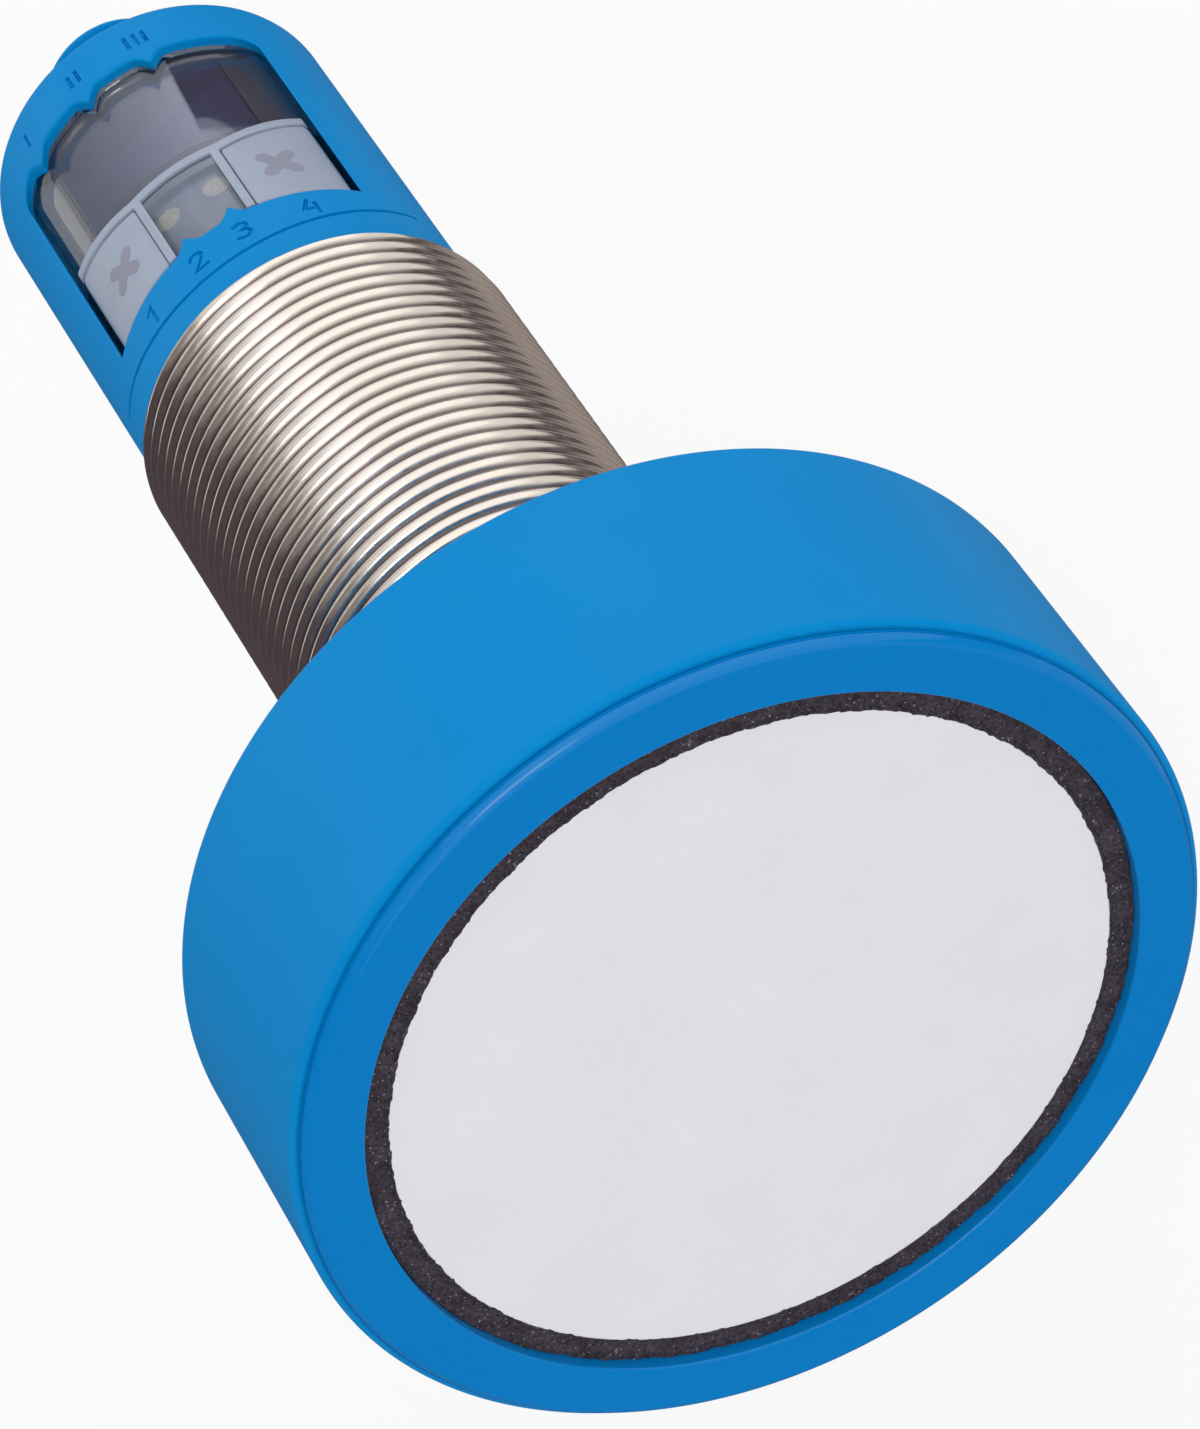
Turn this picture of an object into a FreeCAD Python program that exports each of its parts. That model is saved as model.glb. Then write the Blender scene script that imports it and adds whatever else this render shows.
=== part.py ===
"""Cylindrical ultrasonic distance sensor with a wide transducer head, in millimetres.

The axis is Y. The head's rear face, where the mounting thread starts, is the plane y = 0: the head and
its sensing face lie towards -Y, the threaded sleeve, the rear cap and the plug towards +Y. The cap's
window looks up, along +Z.
"""
import FreeCAD, Part
import os
import re
import Sketcher
from FreeCAD import Rotation, Vector

# Driving dimensions: alias, value, meaning
SIZES = [
    ("fit_gap", 0.05, "play between two pieces that fit"),
    ("seal_section", 0.9, "side of the square section of the seals"),
    # Sleeve
    ("thread_diameter", 30, "major diameter of the mounting thread"),
    ("thread_run", 57, "threaded length from the head to the cap"),
    ("sleeve_wall", 1.9, "wall of the sleeve, from the crest of the thread"),
    ("sleeve_chamfer", 0.8, "chamfer at the rear end of the thread"),
    ("neck_step", 0.8, "plain neck inside the head below the crest of the thread"),
    # Head
    ("head_diameter", 65, "outside of the head"),
    ("head_depth", 21.5, "sensing plane to the rear face of the head"),
    ("head_wall", 3.6, "side wall of the head"),
    ("head_floor", 3, "rear wall of the head"),
    ("head_chamfer", 0.4, "chamfer of the front edge of the head"),
    ("head_rear_round", 0.6, "rounding of the rear edge of the head"),
    ("hub_wall", 3, "wall of the hub that takes the sleeve"),
    ("hub_mouth_gap", 0.25, "lead-in chamfer of the hub round the thread"),
    ("hub_lip", 1.2, "lip of the hub that stops the sleeve"),
    ("hub_stop", 0.7, "how far the lip of the hub reaches inside the sleeve's bore"),
    # Front ring and transducer
    ("ring_proud", 0.95, "how far the ring stands in front of the head"),
    ("ring_step", 0.6, "how far the ring's edge lies inside the head's"),
    ("ring_round", 0.85, "rounding of the ring's outer front edge"),
    ("mouth_round", 0.2, "rounding of the mouth of the ring"),
    ("ring_spigot", 4.2, "depth of the ring's spigot in the head"),
    ("bezel_width", 4.85, "edge of the head to the mouth of the ring"),
    ("foam_width", 1.8, "width of the black foam"),
    ("foam_recess", 1.5, "foam behind the sensing plane"),
    ("face_recess", 0.8, "white face behind the sensing plane"),
    ("face_thickness", 6.5, "thickness of the matching layer"),
    ("piezo_diameter", 40, "ceramic disc"),
    ("piezo_thickness", 3.8, "ceramic disc"),
    ("damping_thickness", 1.8, "pad behind the ceramic"),
    ("lead_diameter", 1, "wires of the transducer"),
    ("lead_spacing", 8, "distance between the two wires"),
    ("lead_overlap", 4, "wires along the main board"),
    # Rear cap
    ("cap_step", 1.1, "cap below the crest of the thread, so that a nut passes"),
    ("cap_wall", 1.8, "side wall of the cap"),
    ("cap_floor", 2, "rear wall of the cap"),
    ("cap_round", 1.2, "rounding of the rear edge of the cap"),
    ("cap_tail", 5.8, "rear edge of the window to the end of the cap"),
    ("seam_setback", 2.9, "front edge of the cap to the seam line, on top"),
    ("seam_lean", 16, "lean of the seam's plane, in degrees"),
    ("seam_reach", 9.5, "how far the seam runs down each side"),
    ("seam_width", 0.25, "seam line"),
    ("seam_depth", 0.3, "seam line"),
    ("collar_length", 7.5, "collar of the cap inside the sleeve"),
    ("collar_wall", 1.9, "wall of that collar"),
    # Window
    ("window_setback", 7.4, "front edge of the cap to the window"),
    ("window_length", 22.8, "window along the axis"),
    ("window_width", 21.5, "window across the axis"),
    ("window_round", 1.6, "rounded rear corners of the window"),
    ("pointer_width", 2.1, "base of a pointer on the window's edge"),
    ("pointer_height", 1.3, "length of a pointer"),
    ("pointer_tip", 0.15, "blunt end of a pointer, and its root in the cap"),
    ("unit_pitch", 5.6, "distance between the three rear pointers"),
    ("unit_shift", -2.25, "middle rear pointer from the window's middle"),
    ("light_pitch", 4, "distance between the two lights and their pointers"),
    ("pane_recess", 0.7, "pane below the outside of the cap"),
    ("pane_lip", 0.55, "thickness of the pane's lip under the cap"),
    ("pane_overlap", 0.7, "how far that lip reaches past the opening"),
    ("rib_width", 0.7, "ribs beside the lights"),
    ("rib_rise", 0.3, "ribs and rail above the pane"),
    ("rib_spacing", 7, "distance between the two ribs"),
    ("rail_width", 0.8, "rail between the keys and the display"),
    ("key_field", 8.6, "front edge of the window to the rail"),
    ("key_slant", 1.85, "how far the rail and the keys run back towards the sides"),
    ("front_bar", 0.6, "bar of the pane in front of the keys"),
    ("side_bar", 0.5, "bar of the pane beside the keys"),
    # Keys and switches
    ("key_gap", 0.15, "play round a key"),
    ("key_rise", 0.15, "key above the pane"),
    ("key_foot", 0.5, "thickness of the foot that keeps a key in"),
    ("foot_overlap", 0.5, "foot under the bars in front of and behind a key"),
    ("key_stem", 2.4, "diameter of the stem under a key"),
    ("stem_drop", 1.2, "stem below the middle of the foot of a key"),
    ("switch_width", 3.2, "square body of a switch"),
    ("switch_height", 1.3, "height of that body"),
    ("plunger_diameter", 1.6, "plunger of a switch"),
    ("plunger_depth", 0.3, "plunger inside the body of its switch"),
    ("plunger_well", 0.9, "depth of the well that the plunger slides in"),
    # Boards and what they carry
    ("board_height", 4.6, "top of the display board above the axis"),
    ("board_thickness", 1.6, "both circuit boards"),
    ("board_margin", 0.6, "display board beside the display frame"),
    ("main_drop", 2.6, "top of the main board below the axis"),
    ("main_start", 2.5, "front end of the main board behind the head"),
    ("board_clearance", 0.7, "rear end of the boards to the plug"),
    ("header_length", 2.5, "header between the boards, along the axis"),
    ("header_width", 12, "header across the axis"),
    ("light_diameter", 2, "lights"),
    ("light_collar", 0.3, "collar at the foot of a light, and half of its height"),
    ("light_setback", 5.9, "front edge of the window to the lights"),
    ("light_drop", 0.5, "top of a light below the pane"),
    ("frame_gap", 1.1, "middle of the rail to the display frame"),
    ("frame_bar", 1, "front bar of the display frame"),
    ("frame_width", 18.6, "display frame across the axis"),
    ("filter_width", 13.9, "smoked filter across the axis"),
    ("filter_setback", 1.7, "rear edge of the window to the smoked filter"),
    ("filter_thickness", 0.65, "smoked filter"),
    ("display_height", 2.8, "display module above its board"),
    ("display_gap", 0.3, "display module inside its frame"),
    ("core_diameter", 12, "ferrite core of the transformer"),
    ("core_height", 7, "ferrite core of the transformer"),
    ("bobbin_width", 13.5, "base of the transformer"),
    ("bobbin_height", 1.2, "base of the transformer"),
    ("core_place", 16, "middle of the transformer behind the head"),
    ("can_diameter", 8, "reservoir capacitor"),
    ("can_length", 11, "reservoir capacitor"),
    ("can_place", 26, "front end of the capacitor behind the head"),
    ("can_groove", 0.4, "crimped groove of the capacitor"),
    ("chip_width", 9, "controller chip"),
    ("chip_height", 1.2, "controller chip"),
    ("chip_place", 44, "middle of the chip behind the head"),
    # Plug
    ("plug_diameter", 12, "major diameter of the plug's thread"),
    ("plug_length", 11.75, "plug behind the cap"),
    ("plug_chamfer", 0.5, "chamfer at the end of the plug"),
    ("plug_neck", 13.8, "plain neck through the rear wall of the cap"),
    ("neck_rise", 1.5, "neck behind the cap"),
    ("flange_diameter", 19, "flange of the plug inside the cap"),
    ("flange_thickness", 1.6, "flange of the plug inside the cap"),
    ("socket_bore", 8.6, "socket of the plug"),
    ("socket_depth", 8.6, "socket of the plug"),
    ("nose_width", 1.2, "polarising nose in the socket"),
    ("nose_height", 0.7, "polarising nose in the socket"),
    ("pin_diameter", 1, "contact pins"),
    ("pin_spacing", 4, "sides of the square of four pins"),
    ("pin_recess", 2.2, "tips of the pins inside the end of the plug"),
    ("pin_tail", 1.5, "tails of the pins in front of the flange"),
    ("pin_taper", 0.5, "rounded tip of a pin"),
]

# Radii and places that follow from the driving dimensions: alias, formula
PLACES = [
    ("sleeve_radius", "thread_diameter / 2"),
    ("bore_radius", "sleeve_radius - sleeve_wall"),
    ("neck_radius", "sleeve_radius - neck_step"),
    ("seal_groove", "seal_section + 2 * fit_gap"),
    # Head, from the sensing plane backwards
    ("head_radius", "head_diameter / 2"),
    ("front_plane", "-head_depth"),
    ("housing_front", "front_plane + ring_proud"),
    ("head_bore", "head_radius - head_wall"),
    ("floor_inside", "-head_floor"),
    ("ring_radius", "head_radius - ring_step"),
    ("mouth_radius", "head_radius - bezel_width"),
    ("spigot_radius", "head_bore - fit_gap"),
    ("spigot_end", "housing_front + ring_spigot"),
    ("foam_front", "front_plane + foam_recess"),
    ("foam_inside", "mouth_radius - foam_width"),
    ("foam_outside", "mouth_radius - fit_gap"),
    ("disc_radius", "foam_inside - fit_gap"),
    ("face_front", "front_plane + face_recess"),
    ("face_rear", "face_front + face_thickness"),
    ("piezo_rear", "face_rear + piezo_thickness"),
    ("hub_front", "piezo_rear + damping_thickness"),
    ("sleeve_front", "hub_front + hub_lip"),
    ("hub_bore", "neck_radius + fit_gap"),
    ("hub_radius", "hub_bore + hub_wall"),
    ("hub_hole", "bore_radius - hub_stop"),
    ("hub_mouth", "sleeve_radius + hub_mouth_gap"),
    ("head_seal_place", "sleeve_front / 2"),
    # Cap, from the end of the thread backwards
    ("cap_radius", "sleeve_radius - cap_step"),
    ("cap_bore", "cap_radius - cap_wall"),
    ("collar_radius", "bore_radius - fit_gap"),
    ("collar_inside", "collar_radius - collar_wall"),
    ("collar_front", "thread_run - collar_length"),
    ("collar_step", "thread_run + cap_wall"),
    ("cap_seal_place", "thread_run - collar_length / 2"),
    ("seam_end", "thread_run + seam_setback + seam_reach * sin(seam_lean)"),
    ("seam_low", "cap_radius - seam_reach * cos(seam_lean)"),
    ("window_front", "thread_run + window_setback"),
    ("window_rear", "window_front + window_length"),
    ("window_half", "window_width / 2"),
    ("window_top", "cap_radius + cap_wall"),
    ("cap_end", "window_rear + cap_tail"),
    ("cap_inside", "cap_end - cap_floor"),
    # Pane and keys
    ("pane_radius", "cap_radius - pane_recess"),
    ("lip_outside", "cap_bore - fit_gap"),
    ("lip_inside", "lip_outside - pane_lip"),
    ("lip_half", "window_half + pane_overlap"),
    ("rib_radius", "pane_radius + rib_rise"),
    ("rib_inside", "(rib_spacing - rib_width) / 2"),
    ("rib_outside", "(rib_spacing + rib_width) / 2"),
    ("rail_front", "window_front + key_field"),
    ("rail_rear", "rail_front + rail_width"),
    ("bar_rear", "window_front + front_bar"),
    ("bar_inside", "window_half - side_bar"),
    ("key_radius", "pane_radius + key_rise"),
    ("key_inner", "rib_outside + key_gap"),
    ("key_outer", "bar_inside - key_gap"),
    ("key_front", "bar_rear + key_gap"),
    ("key_rear", "rail_front - key_gap"),
    ("key_reach", "key_slant * (key_outer - key_inner) / (bar_inside - rib_outside)"),
    ("key_middle", "(key_front + key_rear + key_reach / 2) / 2"),
    ("key_centre", "(key_inner + key_outer) / 2"),
    ("foot_outside", "lip_inside - key_gap"),
    ("foot_inside", "foot_outside - key_foot"),
    ("foot_reach", "key_centre + switch_width / 2"),
    ("foot_level", "sqrt(foot_inside ^ 2 - key_centre ^ 2)"),
    ("stem_end", "foot_level - stem_drop"),
    # Boards
    ("board_under", "board_height - board_thickness"),
    ("main_top", "-main_drop"),
    ("main_under", "main_top - board_thickness"),
    ("main_half", "sqrt(collar_inside ^ 2 - main_under ^ 2) - fit_gap"),
    ("switch_half", "switch_width / 2"),
    ("switch_top", "board_height + switch_height"),
    ("header_front", "window_front - header_length"),
    ("header_half", "header_width / 2"),
    ("light_radius", "light_diameter / 2"),
    ("light_top", "lip_inside - light_drop"),
    ("light_place", "window_front + light_setback"),
    ("frame_front", "rail_rear + frame_gap"),
    ("frame_half", "frame_width / 2"),
    ("display_half", "frame_half + board_margin"),
    ("frame_radius", "lip_inside - fit_gap"),
    ("filter_front", "frame_front + frame_bar"),
    ("filter_rear", "window_rear - filter_setback"),
    ("filter_half", "filter_width / 2"),
    ("filter_inside", "frame_radius - filter_thickness"),
    ("lead_radius", "lead_diameter / 2"),
    ("lead_height", "main_top + lead_radius + fit_gap"),
    ("bobbin_half", "bobbin_width / 2"),
    ("bobbin_top", "main_top + bobbin_height"),
    ("can_radius", "can_diameter / 2"),
    ("can_height", "main_top + can_radius + fit_gap"),
    ("can_rear", "can_place + can_length"),
    ("chip_half", "chip_width / 2"),
    # Plug
    ("flange_front", "cap_inside - flange_thickness"),
    ("board_rear", "flange_front - board_clearance"),
    ("flange_radius", "flange_diameter / 2"),
    ("plug_neck_radius", "plug_neck / 2"),
    ("neck_end", "cap_end + neck_rise"),
    ("plug_radius", "plug_diameter / 2"),
    ("plug_end", "cap_end + plug_length"),
    ("socket_radius", "socket_bore / 2"),
    ("socket_floor", "plug_end - socket_depth"),
    ("plug_seal_radius", "(flange_radius + plug_neck_radius) / 2"),
    ("pin_radius", "pin_diameter / 2"),
    ("pin_end", "plug_end - pin_recess"),
    ("pin_start", "flange_front - pin_tail"),
]
SHEET_OF = {row[0]: "Sizes" for row in SIZES} | {row[0]: "Places" for row in PLACES}

doc = FreeCAD.newDocument("ultrasonic_sensor")


def bound(formula, own_sheet=None):
    """The formula with the name of its sheet in front of each alias."""
    def with_sheet(word):
        sheet = SHEET_OF.get(word[0], own_sheet)
        return word[0] if sheet == own_sheet else f"{sheet}.{word[0]}"
    return re.sub(r"[a-z_]+", with_sheet, formula)


def fill_sheet(name, rows):
    """A spreadsheet with an alias for each value."""
    sheet = doc.addObject("Spreadsheet::Sheet", name)
    for line, (alias, text, meaning) in enumerate(rows, start=1):
        sheet.set(f"A{line}", alias)
        sheet.set(f"B{line}", text)
        sheet.setAlias(f"B{line}", alias)
        sheet.set(f"C{line}", meaning)
    doc.recompute()
    return sheet


fill_sheet("Sizes", [(alias, str(size), meaning) for alias, size, meaning in SIZES])
places = fill_sheet("Places", [(alias, "=" + bound(formula, "Places"), "") for alias, formula in PLACES])


def value(formula):
    """The present value of a formula."""
    result = places.evalExpression(bound(formula, "Places"))
    return float(getattr(result, "Value", result))


def bind(thing, **formulas):
    """Ties properties of an object to formulas; place_x, place_y and place_z are its position."""
    for name, formula in formulas.items():
        path = name.replace("place_", "Placement.Base.")
        thing.setExpression(path, bound(formula))
    return thing


# Building blocks

ALONG_Y = Rotation(Vector(1, 0, 0), -90)
SAME_PLACE = 1e-4


def turned(name, corners):
    """A body of revolution about Y from the corners (radius, place) of its half section."""
    body = doc.addObject("PartDesign::Body", name)
    sketch = body.newObject("Sketcher::SketchObject", name + "_section")
    plane = next(item for item in body.Origin.OriginFeatures if item.Role == "XY_Plane")
    sketch.AttachmentSupport = [(plane, "")]
    sketch.MapMode = "FlatFace"
    points = [Vector(value(radius), value(place), 0) for radius, place in corners]
    count = len(points)
    for index in range(count):
        sketch.addGeometry(Part.LineSegment(points[index], points[(index + 1) % count]), False)
    for index in range(count):
        sketch.addConstraint(Sketcher.Constraint("Coincident", index, 2, (index + 1) % count, 1))
    for index, corner in enumerate(corners):
        for kind, formula in zip(("DistanceX", "DistanceY"), corner):
            datum = Sketcher.Constraint(kind, -1, 1, index, 1, value(formula))
            number = sketch.addConstraint(datum)
            sketch.setExpression(f"Constraints[{number}]", bound(formula))
    turn = body.newObject("PartDesign::Revolution", name + "_turn")
    turn.Profile = sketch
    turn.ReferenceAxis = (sketch, ["V_Axis"])
    turn.Angle = 360
    doc.recompute()
    return body


def rounded(body, size, circles):
    """Rounds the circular edges of a turned body that are given as (radius, place)."""
    base = body.Tip
    wanted = [(value(radius), value(place)) for radius, place in circles]
    names = []
    for number, edge in enumerate(base.Shape.Edges, start=1):
        if not isinstance(edge.Curve, Part.Circle):
            continue
        for radius, place in wanted:
            off = max(abs(edge.Curve.Radius - radius), abs(edge.Curve.Center.y - place))
            if off < SAME_PLACE:
                names.append(f"Edge{number}")
    fillet = body.newObject("PartDesign::Fillet", f"{body.Name}_{size}")
    fillet.Base = (base, names)
    bind(fillet, Radius=size)
    doc.recompute()
    return body


def tube(name, inside, outside, start, end):
    return turned(name, [(inside, start), (outside, start), (outside, end), (inside, end)])


def block(name, x, y, z):
    """A box between two formulas on each axis."""
    box = doc.addObject("Part::Box", name)
    for size, place, (low, high) in zip(("Length", "Width", "Height"), "xyz", (x, y, z)):
        bind(box, **{size: f"({high}) - ({low})", f"place_{place}": low})
    return box


def rod_along(name, radius, start, end, x="0", z="0"):
    """A cylinder along Y."""
    rod = doc.addObject("Part::Cylinder", name)
    rod.Placement.Rotation = ALONG_Y
    return bind(rod, Radius=radius, Height=f"({end}) - ({start})", place_x=x, place_y=start, place_z=z)


def rod_up(name, radius, bottom, top, x="0", y="0"):
    """A cylinder along Z."""
    rod = doc.addObject("Part::Cylinder", name)
    return bind(rod, Radius=radius, Height=f"({top}) - ({bottom})", place_x=x, place_y=y, place_z=bottom)


def fused(name, *pieces):
    joined = doc.addObject("Part::MultiFuse", name)
    joined.Shapes = list(pieces)
    joined.Refine = True
    return joined


def shared(name, *pieces):
    """What all the pieces have in common."""
    overlap = doc.addObject("Part::MultiCommon", name)
    overlap.Shapes = list(pieces)
    overlap.Refine = True
    return overlap


def cut(name, base, *tools):
    rest = doc.addObject("Part::Cut", name)
    rest.Base = base
    rest.Tool = tools[0] if len(tools) == 1 else fused(name + "_tools", *tools)
    rest.Refine = True
    return rest


def mirrored_range(side, low, high):
    """A range on X, to the right of the middle or mirrored to its left."""
    return (low, high) if side == "right" else (f"-({high})", f"-({low})")


def mirrored_place(side, place):
    return place if side == "right" else f"-({place})"


# Head

def head_housing():
    """A cup with a hub: the sleeve's neck enters the chamfered hub from the rear, up to its lip."""
    seal_front = "head_seal_place - seal_groove / 2"
    seal_rear = "head_seal_place + seal_groove / 2"
    seal_bottom = "hub_bore + seal_section"
    body = turned("head_housing", [
        ("head_bore", "housing_front"), ("head_radius - head_chamfer", "housing_front"),
        ("head_radius", "housing_front + head_chamfer"), ("head_radius", "0"),
        ("hub_mouth", "0"), ("hub_bore", "hub_bore - hub_mouth"),
        ("hub_bore", seal_rear), (seal_bottom, seal_rear),
        (seal_bottom, seal_front), ("hub_bore", seal_front), ("hub_bore", "sleeve_front"),
        ("hub_hole", "sleeve_front"), ("hub_hole", "hub_front"), ("hub_radius", "hub_front"),
        ("hub_radius", "floor_inside"), ("head_bore", "floor_inside"),
    ])
    return rounded(body, "head_rear_round", [("head_radius", "0")])


def front_ring():
    """The flange lies on the head's front edge, the spigot in its bore."""
    body = turned("front_ring", [
        ("mouth_radius", "front_plane"), ("ring_radius", "front_plane"), ("ring_radius", "housing_front"),
        ("spigot_radius", "housing_front"), ("spigot_radius", "spigot_end"), ("mouth_radius", "spigot_end"),
    ])
    rounded(body, "mouth_round", [("mouth_radius", "front_plane")])
    return rounded(body, "ring_round", [("ring_radius", "front_plane")])


def transducer():
    """The foam goes round the face and down to the head's floor, held by the ring's spigot."""
    shoulder = "spigot_end + fit_gap"
    foam = turned("foam_ring", [
        ("foam_inside", "foam_front"), ("foam_outside", "foam_front"), ("foam_outside", shoulder),
        ("spigot_radius", shoulder), ("spigot_radius", "floor_inside"), ("foam_inside", "floor_inside"),
    ])
    face = turned("transducer_face", [
        ("0", "face_front"), ("disc_radius", "face_front"), ("disc_radius", "face_rear"), ("0", "face_rear"),
    ])
    piezo_radius = "piezo_diameter / 2"
    piezo = turned("piezo_disc", [
        ("0", "face_rear"), (piezo_radius, "face_rear"), (piezo_radius, "piezo_rear"), ("0", "piezo_rear"),
    ])
    lead_end = "main_start + lead_overlap"
    pad_disc = rod_along("damping_disc", "hub_radius", "piezo_rear", "hub_front")
    lead_places = (("signal_lead", "lead_spacing / 2"), ("ground_lead", "-lead_spacing / 2"))
    holes = []
    leads = []
    for name, place in lead_places:
        hole_radius = "lead_radius + fit_gap"
        holes.append(rod_along(name + "_hole", hole_radius, "piezo_rear", "hub_front", place, "lead_height"))
        leads.append(rod_along(name, "lead_radius", "piezo_rear", lead_end, place, "lead_height"))
    pad = cut("damping_pad", pad_disc, *holes)
    return [foam, face, piezo, pad, *leads]


# Sleeve

def threaded_sleeve():
    """Modelled to the crest of its thread; the neck inside the head is plain."""
    return turned("threaded_sleeve", [
        ("bore_radius", "sleeve_front"), ("neck_radius", "sleeve_front"), ("neck_radius", "0"),
        ("sleeve_radius", "0"), ("sleeve_radius", "thread_run - sleeve_chamfer"),
        ("sleeve_radius - sleeve_chamfer", "thread_run"), ("bore_radius", "thread_run"),
    ])


def seal(name, inside, middle):
    """A ring of square section about the axis."""
    outside = f"{inside} + seal_section"
    return tube(name, inside, outside, f"{middle} - seal_section / 2", f"{middle} + seal_section / 2")


def seals():
    plug_seal_place = "cap_inside - fit_gap / 2 - seal_section / 2"
    return [
        seal("head_seal", "neck_radius + fit_gap / 2", "head_seal_place"),
        seal("cap_seal", "bore_radius - fit_gap / 2 - seal_section", "cap_seal_place"),
        seal("plug_seal", "plug_seal_radius - seal_section / 2", plug_seal_place),
    ]


# Rear cap and its window

def pointer(name, middle, base, tip, gap):
    """A tapered tooth from a place outside the window to its tip inside."""
    wedge = doc.addObject("Part::Wedge", name)
    base_half = f"pointer_width / 2 + 2 * ({gap})"
    tip_half = f"pointer_tip / 2 + ({gap})"
    forward = value(tip) > value(base)
    start, end = (base, tip) if forward else (tip, base)
    start_half, end_half = (base_half, tip_half) if forward else (tip_half, base_half)
    return bind(
        wedge, Ymin=start, Ymax=end, Zmin="0", Zmax="window_top", Z2min="0", Z2max="window_top",
        Xmin=f"{middle} - ({start_half})", Xmax=f"{middle} + ({start_half})",
        X2min=f"{middle} - ({end_half})", X2max=f"{middle} + ({end_half})",
    )


def window_prism(name, gap):
    """The window's outline as a prism, made smaller all round by the gap."""
    half = f"window_half - ({gap})"
    front = f"window_front + ({gap})"
    rear = f"window_rear - ({gap})"
    height = ("0", "window_top")
    straight = block(name + "_sides", (f"-({half})", half), (front, f"{rear} - window_round"), height)
    narrow = f"{half} - window_round"
    middle = block(name + "_middle", (f"-({narrow})", narrow), (front, rear), height)
    corners = []
    for side in ("left", "right"):
        place = mirrored_place(side, narrow)
        corner = rod_up(f"{name}_{side}_corner", "window_round", *height, place, f"{rear} - window_round")
        corners.append(corner)
    outline = fused(name + "_outline", straight, middle, *corners)
    teeth = []
    for number, step in enumerate(("unit_shift - unit_pitch", "unit_shift", "unit_shift + unit_pitch"), 1):
        tip = f"window_rear - pointer_height - 2 * ({gap})"
        teeth.append(pointer(f"{name}_unit_{number}", step, "window_rear + pointer_tip", tip, gap))
    for number, step in enumerate(("-light_pitch / 2", "light_pitch / 2"), 1):
        tip = f"window_front + pointer_height + 2 * ({gap})"
        teeth.append(pointer(f"{name}_light_{number}", step, "window_front - pointer_tip", tip, gap))
    return cut(name, outline, *teeth)


def cap_seam():
    """A fine line across the top of the cap, where a leaning plane meets its outside."""
    slab = block("seam_slab", ("-cap_radius", "cap_radius"), ("seam_end", "seam_end + seam_width"),
                 ("seam_low", "seam_low + seam_reach + seam_depth"))
    slab.Placement.Rotation = Rotation(Vector(1, 0, 0), value("seam_lean"))
    slab.setExpression("Placement.Rotation.Angle", bound("seam_lean"))
    bottom = "cap_radius - seam_depth"
    skin = tube("seam_skin", bottom, "cap_radius + seam_depth", "thread_run", "window_front")
    return shared("seam_line", skin, slab)


def rear_cap():
    """A turned shell with a collar for the sleeve, cut open by the window."""
    seal_front = "cap_seal_place - seal_groove / 2"
    seal_rear = "cap_seal_place + seal_groove / 2"
    seal_bottom = "collar_radius - seal_section"
    neck_hole = "plug_neck_radius + fit_gap"
    shell = turned("cap_shell", [
        ("collar_inside", "collar_front"), ("collar_radius", "collar_front"), ("collar_radius", seal_front),
        (seal_bottom, seal_front), (seal_bottom, seal_rear), ("collar_radius", seal_rear),
        ("collar_radius", "thread_run"), ("cap_radius", "thread_run"), ("cap_radius", "cap_end"),
        (neck_hole, "cap_end"), (neck_hole, "cap_inside"), ("cap_bore", "cap_inside"),
        ("cap_bore", "collar_step"), ("collar_inside", "collar_step"),
    ])
    rounded(shell, "cap_round", [("cap_radius", "cap_end")])
    return cut("rear_cap", shell, window_prism("window_opening", "0"), cap_seam())


def slant(name, side, inner, outer, start, reach):
    """A wedge behind a straight edge, from nothing at the inner end to its full reach at the outer end."""
    wedge = doc.addObject("Part::Wedge", name)
    low, high = mirrored_range(side, inner, outer)
    tip = mirrored_place(side, outer)
    return bind(
        wedge, Ymin=start, Ymax=f"{start} + {reach}", Xmin=low, Xmax=high, X2min=tip, X2max=tip,
        Zmin="0", Zmax="window_top", Z2min="0", Z2max="window_top",
    )


def window_pane():
    """A stepped curved pane: a lip under the cap, a raised field in the opening, ribs and a rail."""
    lip_front = "window_front - pane_overlap"
    lip_rear = "window_rear + pane_overlap"
    height = ("0", "window_top")
    lip_tube = tube("pane_lip_tube", "lip_inside", "lip_outside", lip_front, lip_rear)
    lip_block = block("pane_lip_block", ("-lip_half", "lip_half"), (lip_front, lip_rear), height)
    lip = shared("pane_lip_sheet", lip_tube, lip_block)
    field_tube = tube("pane_field_tube", "lip_inside", "pane_radius", lip_front, lip_rear)
    field = shared("pane_field", field_tube, window_prism("pane_prism", "fit_gap"))
    rib_tube = tube("pane_rib_tube", "lip_inside", "rib_radius", lip_front, lip_rear)
    bars = [block("pane_rail", ("-bar_inside", "bar_inside"), ("rail_front", "rail_rear"), height)]
    holes = []
    for side in ("left", "right"):
        rib_range = mirrored_range(side, "rib_inside", "rib_outside")
        bars.append(block(f"pane_rib_{side}", rib_range, ("bar_rear", "rail_rear"), height))
        hole = ("rib_outside", "bar_inside")
        bars.append(slant(f"rail_slant_{side}", side, *hole, "rail_rear", "key_slant"))
        hole_range = mirrored_range(side, *hole)
        holes.append(block(f"key_hole_{side}", hole_range, ("bar_rear", "rail_front"), height))
        holes.append(slant(f"hole_slant_{side}", side, *hole, "rail_front", "key_slant"))
    ribs = shared("pane_ribs", rib_tube, fused("pane_bars", *bars))
    return cut("window_pane", fused("pane_blank", lip, field, ribs), *holes)


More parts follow.
